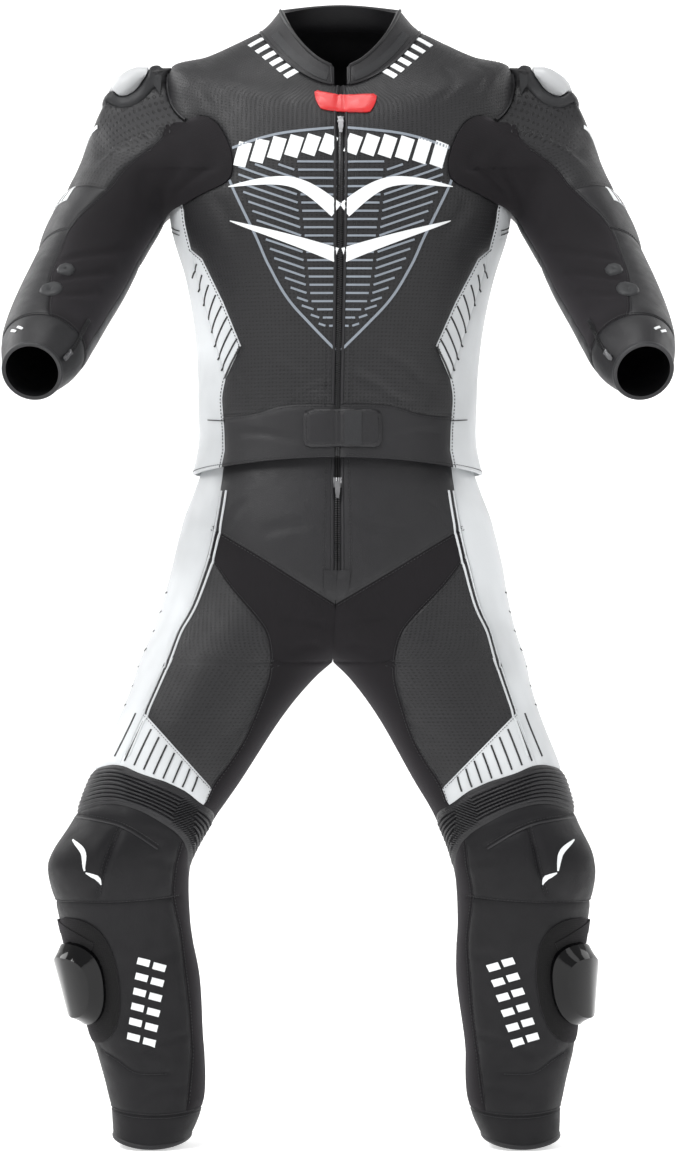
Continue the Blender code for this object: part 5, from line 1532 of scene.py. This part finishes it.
LEG_CREASES = table(
    "x1 z1 x2 z2 depth width",
    (0.0100, 0.6500, 0.0700, 0.6900, 0.0016, 0.0080),
    (0.0080, 0.6300, 0.0640, 0.6350, 0.0018, 0.0085),
    (0.0160, 0.6080, 0.0720, 0.5900, 0.0016, 0.0090),
    (0.0300, 0.7500, 0.0900, 0.7400, 0.0012, 0.0090),
    (0.1100, 0.7800, 0.1320, 0.7450, 0.0014, 0.0080),
    (0.0900, 0.5150, 0.1300, 0.4900, 0.0010, 0.0100),
    (0.1700, 0.3650, 0.2250, 0.3860, 0.0014, 0.0070),
    (0.1780, 0.3400, 0.2100, 0.3500, 0.0012, 0.0070),
    (0.1700, 0.1400, 0.2500, 0.1050, 0.0012, 0.0065),
    (0.2000, 0.1120, 0.2600, 0.1180, 0.0010, 0.0060),
    (0.1750, 0.2350, 0.2250, 0.2250, 0.0009, 0.0090),
    (0.1760, 0.0760, 0.2350, 0.0620, 0.0010, 0.0060),
)
LEG_HIDDEN_CREASES = table(
    "around1 up1 around2 up2 depth width",
    (0.405, 0.400, 0.480, 0.390, 0.0028, 0.009),
    (0.400, 0.370, 0.478, 0.360, 0.0030, 0.009),
    (0.410, 0.345, 0.470, 0.335, 0.0024, 0.008),
    (0.400, 0.425, 0.470, 0.430, 0.0020, 0.009),
    (0.430, 0.560, 0.490, 0.545, 0.0022, 0.011),
    (0.420, 0.590, 0.485, 0.600, 0.0020, 0.011),
    (0.400, 0.730, 0.450, 0.700, 0.0016, 0.012),
    (0.300, 0.640, 0.340, 0.620, 0.0014, 0.011),
    (0.410, 0.180, 0.470, 0.170, 0.0014, 0.010),
    (0.400, 0.110, 0.460, 0.120, 0.0014, 0.009),
)
KNEE_TOP_LINE = ((0.3060, 0.4030), (0.2460, 0.3912), (0.1968, 0.3636))
KNEE_DOWN_LINE = ((0.2450, 0.3905), (0.2580, 0.3500), (0.2690, 0.3060))
SHIN_LINES = (
    ((0.2790, 0.1200), (0.2600, 0.1080), (0.2376, 0.0936), (0.2000, 0.0930)),
)


def place_on_leg(turn, up):
    return leg_flat(turn, np.array([up]))[0]


def leg_layout():
    """One half of the trousers cut into panels, with the fly tab, slider base and puck outlined on it."""
    heights = np.concatenate([
        np.linspace(0, CROTCH, 17 * LEG_STEPS + 1),
        CROTCH + (TOP - CROTCH) * np.linspace(0, 1, HIP_STEPS)[1:] ** 1.3,
    ])
    inner = np.stack([0 * heights, heights], axis=1)
    hem = np.stack([np.linspace(0, LEG_ROUND, 100), np.zeros(100)], axis=1)
    waist = hem + (0, TOP)
    back_edge = leg_flat(LEG_BACK_EDGE, np.linspace(ANKLE, TOP, 190))
    accordion = []
    for inside, line, end in (
        (KNEE_INSIDE, ACCORDION_TOP, ACCORDION_TOP_BEHIND),
        (CALF_INSIDE, ACCORDION_FOOT, ACCORDION_FOOT_BEHIND),
    ):
        places = [leg.seen(x, z) for x, z in line[1:]]
        accordion.append(smooth_line([(0.0, heights[inside]), *places, place_on_leg(LEG_BACK_EDGE, end)]))
    accordion_top, accordion_foot = accordion
    accordion_top[-1] = to_corner(back_edge, accordion_top[-1])
    accordion_foot = joined(accordion_foot, end_on=back_edge)
    inseam = inner[(heights >= heights[CALF_INSIDE]) & (heights <= CROTCH + 1e-9)]
    side = joined(leg.curve(SIDE_FRONT), start_on=waist, end_on=accordion_top)
    middle = inner[heights >= CROTCH - 1e-9]
    stretch_top = joined(leg.curve(STRETCH_TOP), start_on=side, end_on=middle)
    thigh = joined(leg.curve(THIGH_INNER), start_on=side, end_on=accordion_top)
    stripe = joined(leg.curve(STRIPE_TOP, straight=True), start_on=side, end_on=thigh)
    shin = joined(leg.curve(SHIN_INNER), start_on=accordion_foot)
    shin[-1, 1] = ANKLE
    knee_foot = joined(leg.curve(KNEE_FOOT), start_on=shin)
    to_edge = smooth_line([tuple(knee_foot[-1]), tuple(to_corner(back_edge, knee_foot[-1]))], straight=True)
    knee_foot = np.concatenate([knee_foot, to_edge[1:]])
    ankle = smooth_line([(0, ANKLE), (LEG_ROUND, ANKLE)], straight=True)
    fly_foot = leg.seen(FLY_HALF, FLY_FOOT_Z)
    fly = smooth_line([(leg.seen(FLY_HALF, 0.80)[0], TOP), leg.seen(FLY_HALF, 0.75), fly_foot])
    fly_end = np.array([fly[-1], (0.0, fly[-1, 1])])
    behind = (LEG_ROUND, 0.0)
    lines = {
        "accordion_top": accordion_top, "accordion_foot": accordion_foot, "back_edge": back_edge,
        "inseam": inseam, "inseam_back": inseam + behind, "side": side, "stretch_top": stretch_top,
        "thigh": thigh, "stripe": stripe, "shin": shin, "knee_foot": knee_foot, "ankle": ankle, "fly": fly,
        "fly_end": fly_end,
    }
    tab = smooth_line([leg.seen(x, z) for x, z in FLY_TAB], straight=True)
    tab[0, 0] = tab[-1, 0] = 0.0
    base = oval(place_on_leg(*BASE_PLACE), *BASE_SIZE, count=90, lean=-0.12)
    puck = oval(place_on_leg(*PUCK_PLACE), *PUCK_SIZE, count=80, lean=-0.15)
    crown = oval(place_on_leg(*PUCK_PLACE), *(np.array(PUCK_SIZE) - STEP), count=64, lean=-0.15)
    knee_lines = [leg.curve(line) for line in (KNEE_TOP_LINE, KNEE_DOWN_LINE, *SHIN_LINES)]
    edges = [inner, inner + behind, hem, waist, crown]
    rows = accordion_rows(accordion_top, accordion_foot, back_edge)
    made = Layout(leg, edges, list(lines.values()), (tab, base, puck), lambda v: v < CROTCH + 1e-6,
                  grooves=knee_lines, rows=rows)
    return made, {**lines, "tab": tab, "base": base, "puck": puck, "crown": crown, "hem": hem,
                  "knee_top": knee_lines[0], "knee_down": knee_lines[1], "shin_fold": knee_lines[2]}


def between(flat, low_line, high_line):
    """How far up a place is between two lines that cross the layout: 0 on the low one, 1 on the high one."""
    order_low, order_high = np.argsort(low_line[:, 0]), np.argsort(high_line[:, 0])
    low = np.interp(flat[:, 0], low_line[order_low, 0], low_line[order_low, 1])
    high = np.interp(flat[:, 0], high_line[order_high, 0], high_line[order_high, 1])
    return (flat[:, 1] - low) / (high - low)


def accordion_rows(top, foot, back_edge):
    """A test for places in the ribbed panel, and rows of points along its ribs."""
    def inside(flat):
        share = between(flat, foot, top)
        edge = np.interp(flat[:, 1], back_edge[:, 1], back_edge[:, 0])
        return (share > 0) & (share < 1) & (flat[:, 0] < edge)

    shares = np.linspace(0, 1, RIBS * RIB_ROWS + 1)[1:-1]
    last = min(top[:, 0].max(), foot[:, 0].max())
    around = np.arange(0.003, last, 0.0040)
    extra = []
    for share in shares:
        low = np.interp(around, foot[:, 0], foot[:, 1])
        high = np.interp(around, top[:, 0], top[:, 1])
        extra.append(np.stack([around, low + (high - low) * share], axis=1))
    extra = np.concatenate(extra)
    return inside, extra[inside(extra)]


def leg_relief(layout, lines):
    creases = seen_creases(leg, LEG_CREASES)
    for a, b, c, d, depth, width in zip(*LEG_HIDDEN_CREASES.values()):
        creases.append((np.array([a, b]), np.array([c, d]), depth, width))
    inside, _ = accordion_rows(lines["accordion_top"], lines["accordion_foot"], lines["back_edge"])
    knee = leg.seen(0.2950, 0.3480)
    shin = place_on_leg(math.radians(30), 0.17)

    def more(flat):
        share = between(flat, lines["accordion_foot"], lines["accordion_top"])
        ribs = RIB_HEIGHT * (np.abs(np.sin(math.pi * RIBS * np.clip(share, 0, 1))) ** 0.7 - 0.4)
        return (
            np.where(inside(flat), ribs, 0)
            + bump(flat, knee, 0.060, 0.042, 0.0065)
            + bump(flat, shin, 0.060, 0.070, 0.0015)
        )

    return Relief(layout.tree, creases, more)


def mirrored_halves(name, made_sheet, look):
    """A half sheet and its mirror image as one piece, for what lies across the middle."""
    points, faces, flat = made_sheet
    twin = [[i + len(points) for i in face[::-1]] for face in faces]
    both = np.concatenate([points, points * (-1, 1, 1)])
    add_piece(f"{name}_cloth", sway(both), faces + twin, np.concatenate([flat, flat]), look, name)


def puck_dome(lines):
    """The puck's height: a steep bevelled wall up to its crown, and a low ridge over the crown."""
    centre = place_on_leg(*PUCK_PLACE)
    crown, rim = [tree_of(sampled(lines[name], LINE_STEP)) for name in ("crown", "puck")]
    reach = np.array(PUCK_SIZE) - STEP

    def dome(flat, _):
        to_crown, to_rim = distances(crown, flat), distances(rim, flat)
        offset = (flat - centre) / reach
        inside = np.abs(offset).max(1) < 1
        wall = 0.30 + 0.62 * np.clip(to_rim / np.maximum(to_rim + to_crown, 1e-9), 0, 1)
        top = 0.92 + 0.16 * (1 - np.clip(np.abs(offset[:, 0] + 0.2 * offset[:, 1]), 0, 1))
        over = inside & (to_rim > to_crown * 0.5) & (to_rim > STEP * 0.9)
        return PUCK_LIFT + PUCK_THICK * np.where(over, top, np.minimum(wall, 0.92))

    return dome


PUCK_LIFT = BASE_THICK + 2 * GAP


def make_trousers(layout, lines, relief):
    panels = (
        ("front", (0.080, 0.760), "black"),
        ("stretch", (0.060, 0.640), "stretch"),
        ("side", (0.205, 0.620), "white"),
        ("thigh", (0.130, 0.580), "perforated"),
        ("knee_stripe", (0.190, 0.470), "white"),
        ("accordion", (0.220, 0.430), "black"),
        # The knee and shin panels take the darker leather, which is painted shade.
        ("knee", (0.235, 0.350), "painted_shade_lower"),
        ("shin", (0.200, 0.150), "painted_shade_lower"),
    )
    base_tree = tree_of(sampled(lines["base"], LINE_STEP))
    for side in (1, -1):
        for kind, (x, z), look in panels:
            add_cloth(f"leg_{kind}", sheet(layout, layout.region(leg.seen(x, z)), relief), look, side)
        back = layout.region((LEG_ROUND - 0.03, 0.60))
        add_cloth("leg_back", sheet(layout, back, relief), "stretch", side)
        ankle = layout.region((0.2, ANKLE / 2))
        # The ankle cuff takes the darker leather, which is painted shade.
        add_cloth("leg_cuff", sheet(layout, ankle, relief), "painted_shade_lower", side)
        base = layout.region(place_on_leg(*BASE_PLACE), 2)
        dome = plateau(base_tree, BASE_THICK - GAP, 0.0015)
        add_cloth("slider_base", sheet(layout, base, relief, bottom=-0.0003, dome=dome), "hook", side)
        puck = layout.region(place_on_leg(*PUCK_PLACE), 3)
        shell = sheet(layout, puck, relief, bottom=PUCK_LIFT - 0.001, dome=puck_dome(lines))
        add_skin("slider_puck", shell, "gloss", side, smooth=22)
    fly = layout.region((0.0005, TOP - 0.05))
    tab = layout.region(leg.seen(0.006, 0.680), 1)
    mirrored_halves("fly_zip", sheet(layout, fly, relief, ZIP_LIFT), "tape")
    free_edge = lines["tab"][lines["tab"][:, 0] > 0.001]
    dome = plateau(tree_of(sampled(free_edge, LINE_STEP)), FLY_TAB_THICK, 0.0015)
    mirrored_halves("fly_tab", sheet(layout, tab, relief, bottom=-0.0003, dome=dome), "black")


KNEE_LINE_TOPS, KNEE_LINE_FEET = ((0.2330, 0.5240), (0.1560, 0.4480)), ((0.2560, 0.4720), (0.1620, 0.4300))
KNEE_LINES = 9
SIDE_BARS, SIDE_BAR_TOP, SIDE_BAR_FOOT = 7, (0.2120, 0.6650), (0.2560, 0.5330)
SHIN_BARS, SHIN_BAR_TOP, SHIN_BAR_FOOT = 6, (0.2060, 0.2180), (0.2260, 0.1280)


def leg_line(trim, corners, width, side, **more):
    line = smooth_line([leg.seen(x, z) for x, z in corners], straight=len(corners) < 3)
    trim.ribbon(LEG_SKIN, line, width, side=side, **more)


def spread(first, last, share):
    return tuple(a + (b - a) * share for a, b in zip(first, last))


LEG_STITCHES = (
    ("thigh", STITCH_ASIDE, -STITCH_ASIDE),
    ("stretch_top", STITCH_ASIDE, -STITCH_ASIDE),
    ("shin", STITCH_ASIDE, -STITCH_ASIDE),
    ("knee_foot", STITCH_ASIDE),
    ("knee_top", -STITCH_ASIDE),
    ("knee_down", STITCH_ASIDE, -STITCH_ASIDE),
    ("ankle", 0.0024, -0.0024),
    ("stripe", STITCH_ASIDE),
    ("back_edge", 0.0024),
    ("shin_fold", 0.0020),
)


def make_leg_trim(lines):
    black, bright, piping, white_piping, threads, straps = Trim(), Trim(), Trim(), Trim(), Trim(), Trim()
    roll = {"columns": 7, "round_top": True}
    for side in (1, -1):
        for number in range(KNEE_LINES):
            share = number / (KNEE_LINES - 1)
            corners = (spread(*KNEE_LINE_TOPS, share), spread(*KNEE_LINE_FEET, share))
            leg_line(black, corners, 0.0019, side)
        for number in range(SIDE_BARS):
            x, z = spread(SIDE_BAR_TOP, SIDE_BAR_FOOT, number / (SIDE_BARS - 1))
            leg_line(black, ((x - 0.004, z + 0.004), (x + 0.016, z + 0.010)), 0.0105, side, columns=5)
        for number in range(SHIN_BARS):
            x, z = spread(SHIN_BAR_TOP, SHIN_BAR_FOOT, number / (SHIN_BARS - 1))
            leg_line(bright, ((x - 0.012, z), (x + 0.002, z + 0.004)), 0.0085, side, columns=5)
            leg_line(bright, ((x + 0.006, z + 0.006), (x + 0.020, z + 0.010)), 0.0085, side, columns=5)
        leg_line(bright, ((0.2960, 0.3700), (0.2830, 0.3560), (0.2810, 0.3360)), 0.0060, side, columns=5,
                 taper=lambda share: 0.25 + 0.75 * np.sin(math.pi * share))
        leg_line(bright, ((0.2800, 0.3340), (0.2690, 0.3280), (0.2650, 0.3180)), 0.0050, side, columns=5,
                 taper=lambda share: 0.25 + 0.75 * np.sin(math.pi * share))
        for offset in (0.0, -0.0075):
            white_piping.ribbon(LEG_SKIN, lines["side"][8:-3], 0.0030, 0.0, 0.0014, side=side,
                                offset=offset - 0.003, **roll)
        piping.ribbon(LEG_SKIN, lines["knee_top"], 0.0034, 0.0, 0.0012, side=side, offset=0.002, **roll)
        piping.ribbon(LEG_SKIN, lines["hem"][1:-1] + (0, 0.0030), 0.0060, 0.0, 0.0014, side=side, **roll)
        for name, *offsets in LEG_STITCHES:
            for offset in offsets:
                threads.dashes(LEG_SKIN, lines[name][1:-1], offset, side)
        fly = lines["fly"][lines["fly"][:, 1] < TOP - 0.004]
        for offset in (0.0094, 0.0112):
            threads.dashes(LEG_SKIN, fly[::-1] + (offset, 0), side=side)
        piping.ribbon(LEG_SKIN, fly + (0.0024, 0), 0.0044, 0.0, 0.0012, side=side, **roll)
        strap = [place_on_leg(math.radians(turn), up) for turn, up in ((74, 0.262), (50, 0.252), (30, 0.238))]
        straps.ribbon(LEG_SKIN, smooth_line(strap), 0.0170, BASE_THICK, 0.0012, side=side, columns=7)
    add_trim("leg_lines", black, "black_print")
    add_trim("leg_bars", bright, "white_print")
    add_trim("leg_piping", piping, "black")
    add_trim("side_welts", white_piping, "white")
    add_trim("leg_stitches", threads, "thread")
    add_trim("slider_straps", straps, "hook")


# ---- zips ----

TOOTH_PITCH, TOOTH_LENGTH, TOOTH_WIDTH, TOOTH_HIGH = 0.0026, 0.0016, 0.0030, 0.0011


def add_teeth(trim, skin, start, end, side=1):
    """Two rows of teeth along the middle of a zip."""
    for way in (-1, 1):
        shift = np.array([0, TOOTH_PITCH / 2 * (way > 0)])
        trim.dashes(skin, (np.array(start) + shift, np.array(end) + shift), way * TOOTH_WIDTH * 0.42, side,
                    TOOTH_LENGTH, TOOTH_PITCH, TOOTH_WIDTH * 0.9, TOOTH_HIGH)


def slider_body(trim, skin, middle, run, side=1, width=0.0085):
    """A zip's slider: a waisted plate with a bridge over it."""
    run = np.asarray(run) / np.linalg.norm(run)
    ends = (middle - run * SLIDER_HALF, middle + run * SLIDER_HALF)
    trim.ribbon(skin, ends, width, 0.0006, 0.0014, 5, side=side, step=0.001,
                taper=lambda share: 1 - 0.28 * np.sin(math.pi * share))
    ends = (middle - run * SLIDER_HALF * 0.5, middle + run * SLIDER_HALF * 0.55)
    trim.ribbon(skin, ends, width * 0.28, 0.0016, 0.0012, 5, True, side, step=0.001)


def make_zips():
    teeth, sliders = Trim(), Trim()
    slider = body.seen(0.0, 1.2370) * (0, 1)
    add_teeth(teeth, BODY_SKIN, (0.0, 0.004), slider)
    slider_body(sliders, BODY_SKIN, slider, (0, 1))
    fly = leg.seen(0.0, 0.8010) * (0, 1)
    for way in (1, -1):
        foot = leg.seen(0.0, FLY_FOOT_Z + 0.003)[1]
        shift = (0.0014, 0.0)
        teeth.dashes(LEG_SKIN, (np.array([0.0, foot]) + shift, fly + shift), 0.0, way, TOOTH_LENGTH,
                     TOOTH_PITCH, TOOTH_WIDTH * 0.85, TOOTH_HIGH)
        sliders.ribbon(LEG_SKIN, (fly + (0.0024, -SLIDER_HALF), fly + (0.0024, SLIDER_HALF)), 0.0040, 0.0006,
                       0.0014, 3, side=way, step=0.002)
        left_side, right_side = cuff_zip_sides()
        top, foot = [(a + b) / 2 for a, b in zip(left_side, right_side)]
        run = (foot - top) / np.linalg.norm(foot - top)
        add_teeth(teeth, RAISED_CUFF, top + run * 0.001, foot - run * 0.012, way)
        slider_body(sliders, RAISED_CUFF, foot - run * (CUFF_ZIP_END + SLIDER_HALF), run, way, 0.0065)
    add_trim("zip_teeth", teeth, "dark_metal")
    add_trim("zip_sliders", sliders, "metal")


TAPE_ROWS, TAPE_HALF, TAPE_DEPTH, TAPE_THICK = 80, 0.0080, 0.0034, 0.0008


def make_middle_tapes():
    """Tapes behind the front and back seams where the two halves of the trousers meet."""
    heights = np.linspace(CROTCH + 0.006, TOP - 0.004, TAPE_ROWS)
    tapes = Trim()
    for around in (0.0, LEG_ROUND):
        flat = np.stack([np.full(TAPE_ROWS, around), heights], axis=1)
        inside = leg.point(flat) - leg.normal(flat) * TAPE_DEPTH
        grids = []
        for depth in (0.0, TAPE_THICK):
            middle = (inside - leg.normal(flat) * depth) * (0, 1, 1)
            grids.append(np.stack([middle + (x, 0, 0) for x in (-TAPE_HALF, TAPE_HALF)], axis=1))
        points, faces = slab(*grids)
        tapes.add(sway(points), faces, np.zeros((len(points), 2)))
    add_trim("middle_tapes", tapes, "lining")


def make_pull(node):
    """A zip's pull: a thin plate with a ribbed grip, inside its CAD solid's size."""
    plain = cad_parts[node]
    corners = np.array([corner.co[:] for corner in plain.data.vertices])
    place = np.array(plain.matrix_world.translation)
    turn = np.array(plain.matrix_world)[:3, :3]
    middle = corners.mean(0)
    _, ways = np.linalg.eigh(np.cov((corners - middle).T))
    out, across, down = ways.T
    if np.cross(across, down) @ out < 0:
        across = -across
    half = [np.abs((corners - middle) @ way).max() for way in (across, down, out)]
    rows = 15
    outline = Trim()
    shares = np.linspace(-1, 1, rows)
    width = half[0] * (0.62 + 0.38 * np.clip(1 - np.abs(shares - 0.25) ** 3, 0, 1))
    thick = half[2] * np.where((np.arange(rows) % 2 == 0) & (np.abs(shares) < 0.6), 1.0, 0.72)
    grid = [
        [middle + down * half[1] * s + across * w * c + out * t * way for c in (-1, -0.8, 0.8, 1)]
        for way in (1, -1) for s, w, t in zip(shares, width, thick)
    ]
    grid = np.array(grid).reshape(2, rows, 4, 3)
    points, faces = slab(grid[0], grid[1])
    outline.add(points @ turn.T + place, faces, np.zeros((len(points), 2)))
    made = add_piece(f"{node}_plate", np.concatenate(outline.points), outline.faces,
                     np.concatenate(outline.flats), "metal", node, PULL_BODIES[node], 30)
    return made


# ---- the studio ----

FLOOR_SIZE, FLOOR_DROP = 12.0, 0.002
WALL_FOOT, WALL_BEND, WALL_HEIGHT = 6.5, 1.5, 8.0
CAMERA_PLACE = (0.002, -5.0, -0.613)
SEEN_HEIGHT = 1.386
SENSOR = 24.0
LIGHTS = table(
    "x y z aim_x aim_y aim_z size power",
    (-2.6, -2.4, 2.2, 0.0, 0.0, -0.30, 1.5, 98),
    (2.8, -2.8, 1.2, 0.0, 0.0, -0.45, 1.8, 20),
    (-0.4, -1.0, 3.2, 0.0, 0.0, -0.2, 1.6, 60),
    (-2.4, 1.0, 1.0, 0.0, 0.0, -0.5, 1.4, 34),
    (2.4, 1.0, 1.0, 0.0, 0.0, -0.5, 1.4, 16),
)
WORLD_STRENGTH = 0.52
PAPER_GLOW = 0.55


def make_studio():
    """A pale floor that curves up into a pale wall, soft lights, and the camera."""
    foot = CAD_BOX[0][2] - FLOOR_DROP
    profile = [(-FLOOR_SIZE, foot), (WALL_FOOT, foot)]
    for turn in np.linspace(0.1, 1.5, 12):
        profile.append((WALL_FOOT + WALL_BEND * math.sin(turn), foot + WALL_BEND * (1 - math.cos(turn))))
    profile += [(WALL_FOOT + WALL_BEND, foot + WALL_HEIGHT)]
    points = [(x, y, z) for y, z in profile for x in (-FLOOR_SIZE, FLOOR_SIZE)]
    faces = [(2 * i, 2 * i + 1, 2 * i + 3, 2 * i + 2) for i in range(len(profile) - 1)]
    mesh = bpy.data.meshes.new("studio")
    mesh.from_pydata(points, [], faces)
    mesh.shade_smooth()
    pale = Look("studio_paper", (0.90, 0.90, 0.90), 0.9, specular=0.0)
    pale.shader.inputs["Emission Color"].default_value = (1, 1, 1, 1)
    pale.shader.inputs["Emission Strength"].default_value = PAPER_GLOW
    mesh.materials.append(pale.material)
    floor = bpy.data.objects.new("studio", mesh)
    bpy.context.scene.collection.objects.link(floor)
    for number, (x, y, z, aim_x, aim_y, aim_z, size, power) in enumerate(zip(*LIGHTS.values())):
        light = bpy.data.lights.new(f"softbox_{number}", "AREA")
        light.shape, light.size, light.energy = "SQUARE", size, power
        holder = bpy.data.objects.new(f"softbox_{number}", light)
        bpy.context.scene.collection.objects.link(holder)
        holder.location = (x, y, z)
        aim = Vector((aim_x - x, aim_y - y, aim_z - z))
        holder.rotation_euler = aim.to_track_quat("-Z", "Y").to_euler()
    bpy.context.scene.view_settings.view_transform = "Standard"
    world = bpy.data.worlds.new("studio")
    bpy.context.scene.world = world
    world.use_nodes = True
    world.node_tree.nodes["Background"].inputs["Color"].default_value = (1, 1, 1, 1)
    world.node_tree.nodes["Background"].inputs["Strength"].default_value = WORLD_STRENGTH
    camera = bpy.data.cameras.new("camera")
    camera.sensor_fit, camera.sensor_height = "VERTICAL", SENSOR
    camera.lens = SENSOR * -CAMERA_PLACE[1] / SEEN_HEIGHT
    holder = bpy.data.objects.new("camera", camera)
    bpy.context.scene.collection.objects.link(holder)
    holder.location = CAMERA_PLACE
    holder.rotation_euler = (math.pi / 2, 0, 0)
    bpy.context.scene.camera = holder


make_studio()
BODY_LAYOUT, BODY_LINES = body_layout()
BODY_RELIEF = body_relief(BODY_LAYOUT)
BODY_SKIN = Skin(body, BODY_RELIEF)
RAISED_TAB = Skin(body, lambda flat: BODY_RELIEF(flat) + TAB_THICK)
SLEEVE_LAYOUT, SLEEVE_LINES = sleeve_layout()
SLEEVE_RELIEF = sleeve_relief(SLEEVE_LAYOUT)
SLEEVE_SKIN = Skin(sleeve, SLEEVE_RELIEF)
RAISED_CUFF = Skin(sleeve, lambda flat: SLEEVE_RELIEF(flat) + CUFF_ZIP_THICK * 0.6)
LEG_LAYOUT, LEG_LINES = leg_layout()
LEG_RELIEF = leg_relief(LEG_LAYOUT, LEG_LINES)
LEG_SKIN = Skin(leg, LEG_RELIEF)
PULL_BODIES = {node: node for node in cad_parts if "zip_pull" in node}

make_jacket(BODY_LAYOUT, BODY_LINES, BODY_RELIEF)
make_chest_prints()
make_jacket_trim(BODY_LINES)
make_sleeves(SLEEVE_LAYOUT, SLEEVE_LINES, SLEEVE_RELIEF)
make_sleeve_trim(SLEEVE_LINES)
make_trousers(LEG_LAYOUT, LEG_LINES, LEG_RELIEF)
make_leg_trim(LEG_LINES)
make_zips()
make_middle_tapes()
for pull in PULL_BODIES:
    make_pull(pull)
